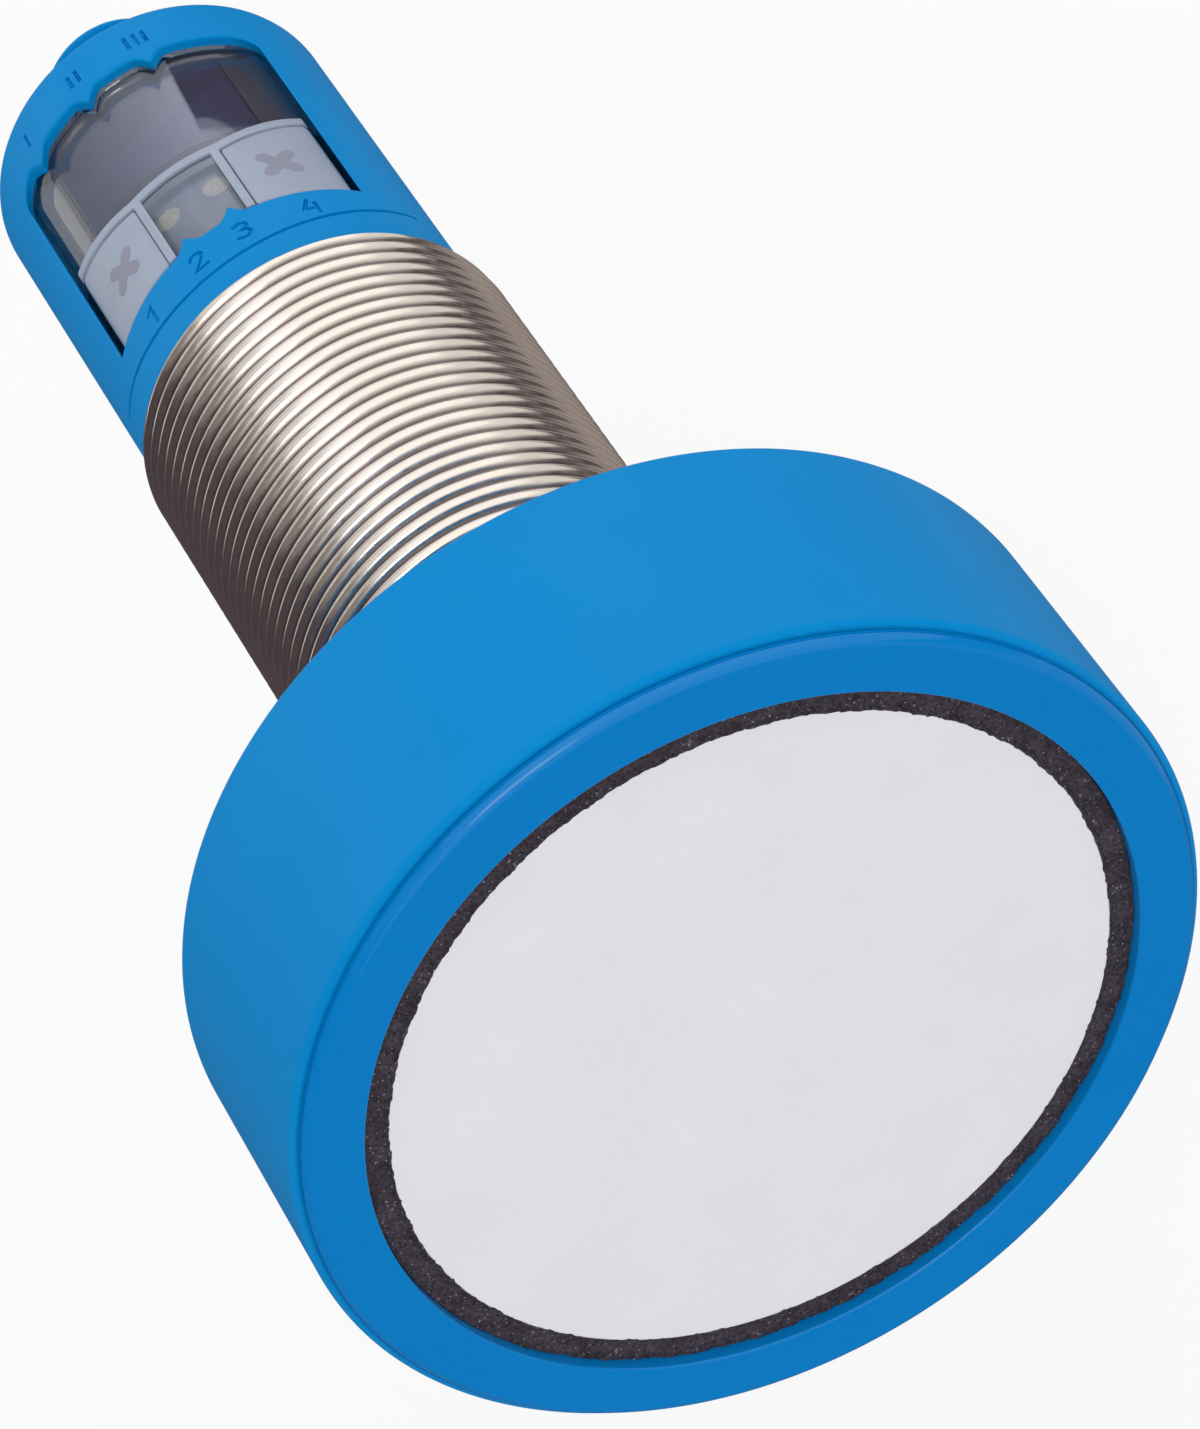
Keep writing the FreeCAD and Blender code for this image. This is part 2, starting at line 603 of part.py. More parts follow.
def key_set(side):
    """A key with its foot and stem, and the switch under it with its plunger."""
    height = ("0", "window_top")
    foot_front = "key_front - foot_overlap"
    foot_rear = "key_rear + foot_overlap"
    top_block = block(f"top_block_{side}", mirrored_range(side, "key_inner", "key_outer"),
                      ("key_front", "key_rear"), height)
    top_slant = slant(f"top_slant_{side}", side, "key_inner", "key_outer", "key_rear", "key_reach")
    top = shared(f"key_top_{side}",
                 tube(f"top_tube_{side}", "lip_inside", "key_radius", "key_front", "key_rear + key_reach"),
                 fused(f"top_outline_{side}", top_block, top_slant))
    core_range = mirrored_range(side, "key_inner", "foot_reach")
    core_block = block(f"core_block_{side}", core_range, ("key_front", "key_rear"), height)
    core = shared(f"key_core_{side}",
                  tube(f"core_tube_{side}", "foot_inside", "key_radius", foot_front, foot_rear), core_block)
    foot_block = block(f"foot_block_{side}", core_range, (foot_front, foot_rear), height)
    foot = shared(f"key_foot_{side}",
                  tube(f"foot_tube_{side}", "foot_inside", "foot_outside", foot_front, foot_rear), foot_block)
    at = (mirrored_place(side, "key_centre"), "key_middle")
    stem = rod_up(f"key_stem_{side}", "key_stem / 2", "stem_end", "foot_level + key_foot", *at)
    button = fused(f"button_{side}", top, core, foot, stem)
    plunger = rod_up(f"plunger_{side}", "plunger_diameter / 2", "switch_top - plunger_depth", "stem_end", *at)
    body = block(f"switch_body_{side}",
                 mirrored_range(side, "key_centre - switch_half", "key_centre + switch_half"),
                 ("key_middle - switch_half", "key_middle + switch_half"), ("board_height", "switch_top"))
    well_radius = "plunger_diameter / 2 + key_gap"
    well = rod_up(f"switch_well_{side}", well_radius, "switch_top - plunger_well", "switch_top", *at)
    return [button, plunger, cut(f"switch_{side}", body, well)]


# Display and boards

def display():
    """A frame on the display board holds the smoked filter above the display."""
    opening_x = ("-filter_half", "filter_half")
    opening_y = ("filter_front", "filter_rear")
    frame_rod = rod_along("frame_rod", "frame_radius", "frame_front", "board_rear")
    frame_block = block("frame_block", ("-frame_half", "frame_half"), ("frame_front", "board_rear"),
                        ("board_height", "window_top"))
    opening = block("frame_opening", opening_x, opening_y, ("0", "window_top"))
    frame = cut("display_frame", shared("frame_blank", frame_rod, frame_block), opening)
    filter_block = block("filter_block", ("fit_gap - filter_half", "filter_half - fit_gap"),
                         ("filter_front + fit_gap", "filter_rear - fit_gap"), ("0", "window_top"))
    filter_tube = tube("filter_tube", "filter_inside", "frame_radius", *opening_y)
    sheet = shared("display_filter", filter_tube, filter_block)
    module = block("display_module", ("display_gap - filter_half", "filter_half - display_gap"),
                   ("filter_front + display_gap", "filter_rear - display_gap"),
                   ("board_height", "board_height + display_height"))
    return [frame, sheet, module]


def status_led(number, place):
    """A round light with a flat top and a collar, standing on the display board."""
    post = rod_up(f"light_post_{number}", "light_radius", "board_height", "light_top", place, "light_place")
    collar_top = "board_height + 2 * light_collar"
    collar = rod_up(f"light_foot_{number}", "light_radius + light_collar", "board_height", collar_top,
                    place, "light_place")
    return fused(f"status_led_{number}", post, collar)


def boards():
    """The display board above the axis, the main board below it, and the header between them."""
    display_board = block("display_board", ("-display_half", "display_half"),
                          ("header_front", "board_rear"), ("board_under", "board_height"))
    main_board = block("main_board", ("-main_half", "main_half"),
                       ("main_start", "board_rear"), ("main_under", "main_top"))
    header = block("board_header", ("-header_half", "header_half"), ("header_front", "window_front"),
                   ("main_top", "board_under"))
    return [display_board, main_board, header]


def drive_circuit():
    """The transformer, the reservoir capacitor and the controller on the main board."""
    around_core = ("core_place - bobbin_half", "core_place + bobbin_half")
    bobbin = block("bobbin", ("-bobbin_half", "bobbin_half"), around_core, ("main_top", "bobbin_top"))
    core = rod_up("core", "core_diameter / 2", "main_top", "bobbin_top + core_height", "0", "core_place")
    transformer = fused("pulse_transformer", bobbin, core)
    crimp = "can_radius - can_groove"
    capacitor = turned("reservoir_capacitor", [
        ("0", "can_place"), ("can_radius", "can_place"), ("can_radius", "can_place + can_groove"),
        (crimp, "can_place + 2 * can_groove"), (crimp, "can_place + 3 * can_groove"),
        ("can_radius", "can_place + 4 * can_groove"), ("can_radius", "can_rear"), ("0", "can_rear"),
    ])
    bind(capacitor, place_z="can_height")
    chip = block("controller_chip", ("-chip_half", "chip_half"),
                 ("chip_place - chip_half", "chip_place + chip_half"), ("main_top", "main_top + chip_height"))
    return [transformer, capacitor, chip]


# Plug

def plug_shell():
    """A threaded shell, modelled to its crest, with a flange inside the cap and a nose in its socket."""
    seal_inside = "plug_seal_radius - seal_groove / 2"
    seal_outside = "plug_seal_radius + seal_groove / 2"
    seal_bottom = "cap_inside - seal_section - fit_gap"
    shell = turned("plug_turning", [
        ("socket_radius", "flange_front"), ("flange_radius", "flange_front"), ("flange_radius", "cap_inside"),
        (seal_outside, "cap_inside"), (seal_outside, seal_bottom), (seal_inside, seal_bottom),
        (seal_inside, "cap_inside"), ("plug_neck_radius", "cap_inside"), ("plug_neck_radius", "neck_end"),
        ("plug_radius", "neck_end"), ("plug_radius", "plug_end - plug_chamfer"),
        ("plug_radius - plug_chamfer", "plug_end"), ("socket_radius", "plug_end"),
    ])
    nose = block("plug_nose", ("-nose_width / 2", "nose_width / 2"), ("socket_floor", "pin_end"),
                 ("socket_radius - nose_height", "(socket_radius + plug_radius) / 2"))
    return fused("plug_shell", shell, nose)


def contacts():
    """Four pins on the corners of a square and one in the middle, in an insulating carrier."""
    half = "pin_spacing / 2"
    spots = [(f"-{half}", half), (half, half), (half, f"-{half}"), (f"-{half}", f"-{half}"), ("0", "0")]
    carrier_radius = "socket_radius - fit_gap"
    blank = rod_along("carrier_blank", carrier_radius, "flange_front", "socket_floor - fit_gap")
    hole_radius = "pin_radius + fit_gap / 2"
    holes = []
    pins = []
    for number, (x, z) in enumerate(spots, start=1):
        holes.append(rod_along(f"pin_hole_{number}", hole_radius, "flange_front", "socket_floor", x, z))
        pin = turned(f"contact_pin_{number}", [
            ("0", "pin_start"), ("pin_radius", "pin_start"), ("pin_radius", "pin_end - pin_taper"),
            ("pin_radius / 2", "pin_end"), ("0", "pin_end"),
        ])
        pins.append(bind(pin, place_x=x, place_z=z))
    return [cut("contact_carrier", blank, *holes), *pins]


nodes = [
    head_housing(), front_ring(), *transducer(), threaded_sleeve(), *seals(), rear_cap(), window_pane(),
    *key_set("left"), *key_set("right"), *display(),
    status_led(1, "-light_pitch / 2"), status_led(2, "light_pitch / 2"),
    *boards(), *drive_circuit(), plug_shell(), *contacts(),
]
doc.recompute()

for item in doc.Objects:
    if "Invalid" in item.State or "Error" in item.State:
        raise RuntimeError(f"{item.Label} did not compute: {item.State}")
for node in nodes:
    if node.Shape.isNull() or not node.Shape.isValid() or len(node.Shape.Solids) != 1:
        raise RuntimeError(f"{node.Label} is not one valid solid")

os.makedirs("parts", exist_ok=True)
for node in nodes:
    node.Shape.Solids[0].exportStep(f"parts/{node.Label}.step")
print(len(nodes), "pieces written")
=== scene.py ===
# %% [markdown]
# Ultrasonic distance sensor
#
# This lesson dresses a CAD model of a long-range ultrasonic sensor. The model comes in as a fixed frame:
# every piece below goes where the frame says, and moves with one of its bodies. The axis of the sensor is
# Y, the sensing face looks towards -Y, and the display window is on top, towards +Z.

# %% Load the frame
import math

import bmesh
import bpy
import numpy as np
from mathutils import Matrix, Vector
from mathutils.geometry import delaunay_2d_cdt
from mathutils.kdtree import KDTree


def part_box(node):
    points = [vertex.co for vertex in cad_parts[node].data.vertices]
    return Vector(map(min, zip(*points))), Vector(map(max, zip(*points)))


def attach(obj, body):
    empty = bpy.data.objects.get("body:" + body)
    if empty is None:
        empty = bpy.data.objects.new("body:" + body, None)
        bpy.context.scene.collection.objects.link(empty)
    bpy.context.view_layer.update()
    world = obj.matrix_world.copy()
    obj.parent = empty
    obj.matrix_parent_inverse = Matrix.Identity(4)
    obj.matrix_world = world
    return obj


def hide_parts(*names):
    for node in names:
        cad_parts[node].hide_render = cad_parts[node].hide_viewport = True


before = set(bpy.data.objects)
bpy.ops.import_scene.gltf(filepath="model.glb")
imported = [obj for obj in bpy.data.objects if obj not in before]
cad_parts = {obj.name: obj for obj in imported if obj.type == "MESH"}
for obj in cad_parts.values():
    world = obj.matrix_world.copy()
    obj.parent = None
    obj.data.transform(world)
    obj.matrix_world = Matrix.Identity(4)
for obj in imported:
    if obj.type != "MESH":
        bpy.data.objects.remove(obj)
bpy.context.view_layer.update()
MM = 0.001

# %% [markdown]
# Sizes
#
# Sizes are read from the nodes of the frame, so that the looks follow the CAD model. For a turned piece
# three numbers say most of it: its radius about the axis, and where its front and rear ends are.

# %% Sizes from the frame
def turned_size(node):
    """Radius about the axis, front end and rear end of a CAD node, in millimetres."""
    low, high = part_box(node)
    radius = max(abs(low.x), high.x, abs(low.z), high.z)
    return radius / MM, low.y / MM, high.y / MM


def node_box(node):
    """Lowest and highest corner of a CAD node, in millimetres."""
    low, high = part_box(node)
    return low / MM, high / MM


HEAD_R, HEAD_FRONT, HEAD_REAR = turned_size("head_housing")
RING_R, RING_FRONT, RING_REAR = turned_size("front_ring")
FOAM_R, FOAM_FRONT, FOAM_REAR = turned_size("foam_ring")
FACE_R, FACE_FRONT, FACE_REAR = turned_size("transducer_face")
SLEEVE_R, SLEEVE_FRONT, SLEEVE_REAR = turned_size("threaded_sleeve")
CAP_R, COLLAR_FRONT, CAP_REAR = turned_size("rear_cap")
FLANGE_R, FLANGE_FRONT, PLUG_REAR = turned_size("plug_shell")
FIT = 0.05
print("head", HEAD_R, "sleeve", SLEEVE_R, "cap", round(CAP_R, 2), "ends at", round(PLUG_REAR, 2))

# %% [markdown]
# Camera
#
# The photograph looks down on the sensor at about 43 degrees, from a little over 400 mm away. The camera is
# rolled by 35 degrees, so that the axis runs from the upper left to the lower right. The place and the
# angles were worked out from the outlines of the head, the thread and the cap.

# %% Place the camera
CAMERA_PLACE = (7.228, -313.527, 309.202)
CAMERA_AZIMUTH, CAMERA_ELEVATION, CAMERA_ROLL = 0.672, 43.461, 35.339
FOCAL_LENGTH, SENSOR_WIDTH = 195.112, 36
lens = bpy.data.cameras.new("camera")
lens.sensor_fit = "HORIZONTAL"
lens.sensor_width = SENSOR_WIDTH
lens.lens = FOCAL_LENGTH
lens.clip_start, lens.clip_end = 0.01, 20
camera = bpy.data.objects.new("camera", lens)
bpy.context.scene.collection.objects.link(camera)
turn = Matrix.Rotation(math.radians(CAMERA_AZIMUTH), 4, "Z")
tilt = Matrix.Rotation(math.radians(90 - CAMERA_ELEVATION), 4, "X")
roll = Matrix.Rotation(math.radians(-CAMERA_ROLL), 4, "Z")
camera.matrix_world = Matrix.Translation(Vector(CAMERA_PLACE) * MM) @ turn @ tilt @ roll
bpy.context.scene.camera = camera
print("camera at", [round(v, 3) for v in camera.matrix_world.translation])

# %% [markdown]
# Tools for materials
#
# Each finish is a small node tree. One function adds a node, sets its properties and joins its sockets.
# Colours are written as sRGB hex values, as in any paint program, and turned to the linear values that
# light needs.

# %% Add a node, read a colour, start a finish
def linear(colour):
    """An sRGB hex colour as linear red, green, blue and alpha."""
    parts = [int(colour[i:i + 2], 16) / 255 for i in (1, 3, 5)]
    return [c / 12.92 if c <= 0.04045 else ((c + 0.055) / 1.055) ** 2.4 for c in parts] + [1.0]


def add_node(tree, kind, inputs=None, **settings):
    """Adds a shader node. Settings are its properties; inputs are values or sockets for its own sockets."""
    made = tree.nodes.new("ShaderNode" + kind)
    for name, setting in settings.items():
        setattr(made, name, setting)
    for name, value in (inputs or {}).items():
        if isinstance(value, bpy.types.NodeSocket):
            tree.links.new(value, made.inputs[name])
        else:
            made.inputs[name].default_value = value
    return made


def start_finish(name):
    """A new material, its empty node tree, and the place on the piece, in metres, that its patterns read."""
    finish = bpy.data.materials.new(name)
    finish.use_nodes = True
    finish.node_tree.nodes.clear()
    place = add_node(finish.node_tree, "TexCoord").outputs["Object"]
    return finish, finish.node_tree, place


def per(size):
    """Texture scale for a pattern whose features are this many millimetres apart."""
    return 1 / (size * MM)


def clouds(tree, place, size, detail, first, second):
    """Two colours that drift into each other, in clouds of this many millimetres."""
    noise = add_node(tree, "TexNoise", {"Vector": place, "Scale": per(size), "Detail": detail})
    mixed = add_node(tree, "Mix", {0: noise.outputs[0], 6: linear(first), 7: linear(second)},
                     data_type="RGBA")
    return mixed.outputs[2]


print("dark grey reads as", [round(c, 3) for c in linear("#404040")])

# %% [markdown]
# Moulded plastic
#
# The head and the cap are injection moulded in PBT, a tough polyester. The mould was spark eroded, which
# leaves a very fine matt grain; where it was polished, on the front ring, the plastic came out glossy. The
# grain is drawn as noise in roughness and bump, with a faint drift of colour from the flow of the melt. The
# same recipe, with other colours and grains, serves the other plastics.

# %% Finish: moulded plastic
def moulded_plastic(name, colour, drift, roughness, ior, grain, relief, shine=0.5):
    """Injection-moulded plastic. Drift is the second colour, grain its size and relief its depth, in mm."""
    finish, tree, place = start_finish(name)
    fine = add_node(tree, "TexNoise", {"Vector": place, "Scale": per(grain), "Detail": 2.0})
    rough = add_node(tree, "MapRange", {
        "Value": fine.outputs[0], "From Min": 0.3, "From Max": 0.7,
        "To Min": roughness - 0.05, "To Max": roughness + 0.05})
    bump = add_node(tree, "Bump", {"Height": fine.outputs[0], "Strength": 1.0, "Distance": relief * MM})
    shader = add_node(tree, "BsdfPrincipled", {
        "Base Color": clouds(tree, place, 9, 3.0, colour, drift), "Roughness": rough.outputs[0],
        "Normal": bump.outputs[0], "IOR": ior, "Specular IOR Level": shine})
    add_node(tree, "OutputMaterial", {"Surface": shader.outputs[0]})
    return finish


# PBT, spark-eroded mould: satin and saturated. The real grain is finer: 0.2 mm is what just shows here
satin_pbt = moulded_plastic("satin_blue_pbt", "#0084ca", "#008acf", 0.44, 1.55, 0.2, 0.002, 0.04)
# PBT, polished mould: the same blue with clear highlights
polished_pbt = moulded_plastic("polished_blue_pbt", "#007ac4", "#007fc8", 0.13, 1.55, 0.6, 0.0005, 0.2)
print("plastics:", satin_pbt.name, polished_pbt.name)

# %% [markdown]
# Foam, face and metal
#
# The sound leaves through a white matching layer: epoxy filled with tiny glass bubbles, ground flat, so it
# is matt and faintly speckled. Black foam round it keeps the vibration out of the housing; its cut cells
# have painted shade in their pits and a few painted glints. The sleeve is brass, turned, threaded and nickel
# plated: a warm, bright metal whose look comes almost wholly from what it reflects. The roots of its thread
# are painted darker and less metallic: painted shade.

# %% Finish: syntactic epoxy, cut foam and nickel plate
# The painted shade in the roots starts this far below the crest of the thread and is full this much deeper,
# in mm
ROOT_SHADE_DEPTH, ROOT_SHADE_EDGE = 0.25, 0.2


def ground_epoxy(name):
    """Epoxy with glass bubbles, ground flat: near white, matt, with specks of 0.3 mm."""
    finish, tree, place = start_finish(name)
    base = clouds(tree, place, 6, 4.0, "#dfe0e6", "#e7e8ed")
    cells = add_node(tree, "TexVoronoi", {"Vector": place, "Scale": per(1.1)})
    speck = add_node(tree, "MapRange", {
        "Value": cells.outputs["Distance"], "From Min": 0.05, "From Max": 0.11, "To Min": 0.16,
        "To Max": 0.0})
    colour = add_node(tree, "Mix", {0: speck.outputs[0], 6: base, 7: linear("#b9b6b4")}, data_type="RGBA")
    grit = add_node(tree, "TexNoise", {"Vector": place, "Scale": per(0.3), "Detail": 3.0})
    bump = add_node(tree, "Bump", {"Height": grit.outputs[0], "Strength": 1.0, "Distance": 0.03 * MM})
    shader = add_node(tree, "BsdfPrincipled", {
        "Base Color": colour.outputs[2], "Normal": bump.outputs[0], "Roughness": 0.8, "IOR": 1.5,
        "Specular IOR Level": 0.25})
    add_node(tree, "OutputMaterial", {"Surface": shader.outputs[0]})
    return finish


def cut_foam(name):
    """Polyurethane foam, cut: cells of 0.3 mm with painted shade in their pits, and painted glints on some
    of their walls.
    """
    finish, tree, place = start_finish(name)
    cells = add_node(tree, "TexVoronoi", {"Vector": place, "Scale": per(0.3)})
    dull = clouds(tree, place, 1.6, 3.0, "#2a2028", "#5a525c")
    # Painted shade: each cell is darker towards its middle, as if shaded in its pit
    shade = add_node(tree, "MapRange", {
        "Value": cells.outputs["Distance"], "From Max": 0.7, "To Min": 0.35, "To Max": 1.0})
    pits = add_node(tree, "Mix", {0: 1.0, 6: dull, 7: shade.outputs[0]}, data_type="RGBA",
                    blend_type="MULTIPLY")
    # Painted glints: pale spots mixed into the colour where a fine noise is high
    spark = add_node(tree, "TexNoise", {"Vector": place, "Scale": per(0.22), "Detail": 1.0})
    glint = add_node(tree, "MapRange", {
        "Value": spark.outputs[0], "From Min": 0.66, "From Max": 0.74, "To Max": 0.55})
    colour = add_node(tree, "Mix", {0: glint.outputs[0], 6: pits.outputs[2], 7: linear("#b4aab4")},
                      data_type="RGBA")
    bump = add_node(tree, "Bump", {
        "Height": cells.outputs["Distance"], "Strength": 1.0, "Distance": 0.12 * MM})
    shader = add_node(tree, "BsdfPrincipled", {
        "Base Color": colour.outputs[2], "Normal": bump.outputs[0], "Roughness": 0.85,
        "Specular IOR Level": 0.2})
    add_node(tree, "OutputMaterial", {"Surface": shader.outputs[0]})
    return finish


def plated_metal(name, colour, drift, roughness, scratch, shade_free_r=0.0):
    """Plated and tumbled metal: even colour with a slow drift, and faint handling marks of this size in mm.
    Nearer to the axis than the given radius, in the roots of a thread, it is painted dark and less metallic:
    painted shade."""
    finish, tree, place = start_finish(name)
    tint, bare = clouds(tree, place, 5, 4.0, colour, drift), 1.0
    # Painted shade: nearer to the axis than the given radius, in the roots of a thread, the colour turns
    # dark grey and the metal less metallic
    if shade_free_r:
        across = add_node(tree, "VectorMath", {0: place, 1: (1, 0, 1)}, operation="MULTIPLY")
        radius = add_node(tree, "VectorMath", {0: across.outputs[0]}, operation="LENGTH")
        unshaded = add_node(tree, "MapRange", {
            "Value": radius.outputs["Value"], "From Min": (shade_free_r - ROOT_SHADE_EDGE) * MM,
            "From Max": shade_free_r * MM})
        metal = add_node(tree, "MapRange", {"Value": unshaded.outputs[0], "To Min": 0.9, "To Max": 1.0})
        root_shaded = add_node(tree, "Mix", {0: unshaded.outputs[0], 6: linear("#807472"), 7: tint}, data_type="RGBA")
        tint, bare = root_shaded.outputs[2], metal.outputs[0]
    marks = add_node(tree, "TexNoise", {"Vector": place, "Scale": per(scratch), "Detail": 3.0})
    rough = add_node(tree, "MapRange", {
        "Value": marks.outputs[0], "From Min": 0.3, "From Max": 0.75, "To Min": roughness,
        "To Max": roughness + 0.1})
    shader = add_node(tree, "BsdfPrincipled", {
        "Base Color": tint, "Roughness": rough.outputs[0], "Metallic": bare})
    add_node(tree, "OutputMaterial", {"Surface": shader.outputs[0]})
    return finish


# Epoxy with glass bubbles, ground: near white and dull as chalk, with faint grey specks
white_layer = ground_epoxy("ground_white_epoxy")
# Polyurethane foam, cut with a knife: nearly black, rough, with a few painted glints and painted shade in
# its pits
black_foam = cut_foam("cut_black_foam")
# Nickel plate over turned brass: warm grey, bright, slightly soft reflections, with painted shade in the
# thread roots
nickel_plate = plated_metal("nickel_plated_brass", "#dad2c7", "#cec4ba", 0.16, 0.8, SLEEVE_R - ROOT_SHADE_DEPTH)
print("finishes:", white_layer.name, black_foam.name, nickel_plate.name)

# %% [markdown]
# Tools for shapes
#
# Most pieces are turned: a profile goes once round the axis. Sharp edges never look real, so a profile is
# written as corners with a radius each, and one function rounds them. Another spins the profile, and a
# third makes the object, gives it a finish, hangs it on the body it rides on and hides the node it stands
# for.

# %% Rounded corners, spinning, and a finished piece
# A point nearer to the axis than this, in mm, is a pole. Points this close and edges this short, in metres,
# are merged
POLE, MERGE, SLIVER = 1e-6, 1e-7, 1e-8


def rounded_corners(corners, steps=6):
    """Points along a closed outline; each corner is (first, second, radius)."""
    points = []
    for i, (first, second, radius) in enumerate(corners):
        here = Vector((first, second))
        if radius == 0:
            points.append(here)
            continue
        before = (Vector(corners[i - 1][:2]) - here).normalized()
        after = (Vector(corners[(i + 1) % len(corners)][:2]) - here).normalized()
        half = before.angle(after) / 2
        middle = here + (before + after).normalized() * (radius / math.sin(half))
        arm = here + before * (radius / math.tan(half)) - middle
        sweep = math.pi - 2 * half
        if before.cross(after) > 0:
            sweep = -sweep
        for step in range(steps + 1):
            points.append(middle + Matrix.Rotation(sweep * step / steps, 2) @ arm)
    return points


def on_axis(radius, angle, y):
    """A point in millimetres at this radius and angle from the top, about the axis."""
    return (radius * math.sin(angle), y, radius * math.cos(angle))


class Shell:
    """Collects the points and faces of one piece, in millimetres."""

    def __init__(self):
        self.points = []
        self.faces = []

    def add(self, points):
        start = len(self.points)
        self.points.extend(points)
        return list(range(start, len(self.points)))

    def wall(self, first, second):
        """Faces between two closed loops with the same number of points; a pole gives triangles."""
        for i in range(len(first)):
            around = (first[i - 1], first[i], second[i], second[i - 1])
            self.faces.append(tuple(dict.fromkeys(around)))

    def walls(self, loops):
        """Walls from each loop to the next."""
        for first, second in zip(loops, loops[1:]):
            self.wall(first, second)

    def rings(self, profile, segments, start=0.0):
        """A ring about the axis for each (radius, y) of a profile; a point on the axis becomes a pole."""
        angles = [2 * math.pi * k / segments + start for k in range(segments)]
        loops = []
        for radius, y in profile:
            if radius < POLE:
                loops.append(self.add([(0, y, 0)]) * segments)
            else:
                loops.append(self.add([on_axis(radius, angle, y) for angle in angles]))
        return loops

    def spin(self, profile, segments):
        """Spins a closed profile of (radius, y) about the axis."""
        loops = self.rings(profile, segments)
        for i in range(len(loops)):
            if profile[i - 1][0] > POLE or profile[i][0] > POLE:
                self.wall(loops[i - 1], loops[i])


def make_piece(name, shell, finish, body, stands_for=(), sharp=32):
    """An object from a shell: merged, normals outside, smooth but for edges sharper than so many degrees."""
    mesh = bpy.data.meshes.new(name)
    mesh.from_pydata([[v * MM for v in point] for point in shell.points], [], shell.faces)
    work = bmesh.new()
    work.from_mesh(mesh)
    bmesh.ops.remove_doubles(work, verts=work.verts, dist=MERGE)
    bmesh.ops.dissolve_degenerate(work, edges=work.edges, dist=SLIVER)
    bmesh.ops.recalc_face_normals(work, faces=work.faces)
    work.to_mesh(mesh)
    open_edges = sum(1 for edge in work.edges if not edge.is_manifold)
    work.free()
    mesh.shade_smooth()
    mesh.set_sharp_from_angle(angle=math.radians(sharp))
    piece = bpy.data.objects.new(name, mesh)
    bpy.context.scene.collection.objects.link(piece)
    mesh.materials.append(finish)
    even = piece.modifiers.new("even_normals", "WEIGHTED_NORMAL")
    even.keep_sharp = True
    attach(piece, body)
    if stands_for:
        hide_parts(*stands_for)
    print(name, len(mesh.vertices), "points", len(mesh.polygons), "faces, open edges:", open_edges)
    return piece


square = [(0, 0, 1), (4, 0, 1), (4, 4, 1), (0, 4, 1)]
print("a square with rounded corners has", len(rounded_corners(square)), "points")

# %% [markdown]
# Head
#
# The head is a moulded cup. Its side is plain and satin, its rear edge lightly rounded. The front ring
# closes it: a polished flange with rounded edges, set a little inside the edge of the head, so that a fine
# dark line shows all round between the two. A cylinder with a bevel would give the outside, but a spun
# profile also has the real wall and its hidden steps.

# %% Head housing and front ring
HEAD_WALL, HEAD_FLOOR = 3.6, 3.0
HEAD_BORE = HEAD_R - HEAD_WALL
NECK_R = SLEEVE_R - 0.8
HUB_BORE, HUB_R = NECK_R + FIT, NECK_R + FIT + 3
HUB_HOLE, HUB_FRONT = 12.4, SLEEVE_FRONT - 1.2
LEAD_IN = 1.0
ROUND_SEGMENTS = 256
head = Shell()
head.spin(rounded_corners([
    (HEAD_BORE, HEAD_FRONT, 0.1), (HEAD_R, HEAD_FRONT, 0.45), (HEAD_R, HEAD_REAR, 0.6),
    (HUB_BORE + LEAD_IN, HEAD_REAR, 0.1), (HUB_BORE, HEAD_REAR - LEAD_IN, 0), (HUB_BORE, SLEEVE_FRONT, 0),
    (HUB_HOLE, SLEEVE_FRONT, 0.1), (HUB_HOLE, HUB_FRONT, 0.1), (HUB_R, HUB_FRONT, 0.2),
    (HUB_R, -HEAD_FLOOR, 0.3), (HEAD_BORE, -HEAD_FLOOR, 0.3),
]), ROUND_SEGMENTS)
make_piece("head_shell", head, satin_pbt, "sensor", ["head_housing"])

MOUTH_R = FACE_R + FIT + 1.8
RING_ROUND, MOUTH_ROUND = 0.85, 0.2
GROOVE_R, GROOVE_Y = RING_R - 0.3, HEAD_FRONT - 0.3
ring = Shell()
ring.spin(rounded_corners([
    (MOUTH_R, RING_FRONT, MOUTH_ROUND), (RING_R, RING_FRONT, RING_ROUND), (RING_R, GROOVE_Y, 0.04),
    (GROOVE_R, GROOVE_Y, 0), (GROOVE_R, HEAD_FRONT, 0), (FOAM_R, HEAD_FRONT, 0), (FOAM_R, RING_REAR, 0.1),
    (MOUTH_R, RING_REAR, 0.1),
], steps=8), ROUND_SEGMENTS)
make_piece("bezel_ring", ring, polished_pbt, "sensor", ["front_ring"])

# %% [markdown]
# Sensing face
#
# The white layer is a disc, and the foam is pressed in round it. Where the foam was trimmed it laps over
# the edge of the disc here and there, so the line between black and white is ragged. That line is drawn
# with a handful of waves of different lengths, from 6 mm down to 0.5 mm, so that it is the same in every
# run.

# %% White face and foam ring
# Lengths in mm; each wave is weaker than the one before it, and their sum is divided by the last number
WAVE_LENGTHS = (6.1, 2.3, 1.3, 0.9, 0.65, 0.5)
WAVE_FIRST, WAVE_FALL, WAVE_SUM = 1.6, 0.45, 3.2


def ragged(angle, radius, seed):
    """A fixed wandering value from 0 to 1 along a circle."""
    wave = 0.0
    for step, length in enumerate(WAVE_LENGTHS):
        turns = round(2 * math.pi * radius / length)
        wave += math.sin(turns * angle + seed * (step + 1) ** 2) / (WAVE_FIRST + WAVE_FALL * step)
    return min(max(0.5 + wave / WAVE_SUM, 0.0), 1.0)


face = Shell()
face.spin(rounded_corners([
    (0, FACE_FRONT, 0), (FACE_R, FACE_FRONT, 0.12), (FACE_R, FACE_REAR, 0.1), (0, FACE_REAR, 0),
]), ROUND_SEGMENTS)
make_piece("white_disc", face, white_layer, "sensor", ["transducer_face"])

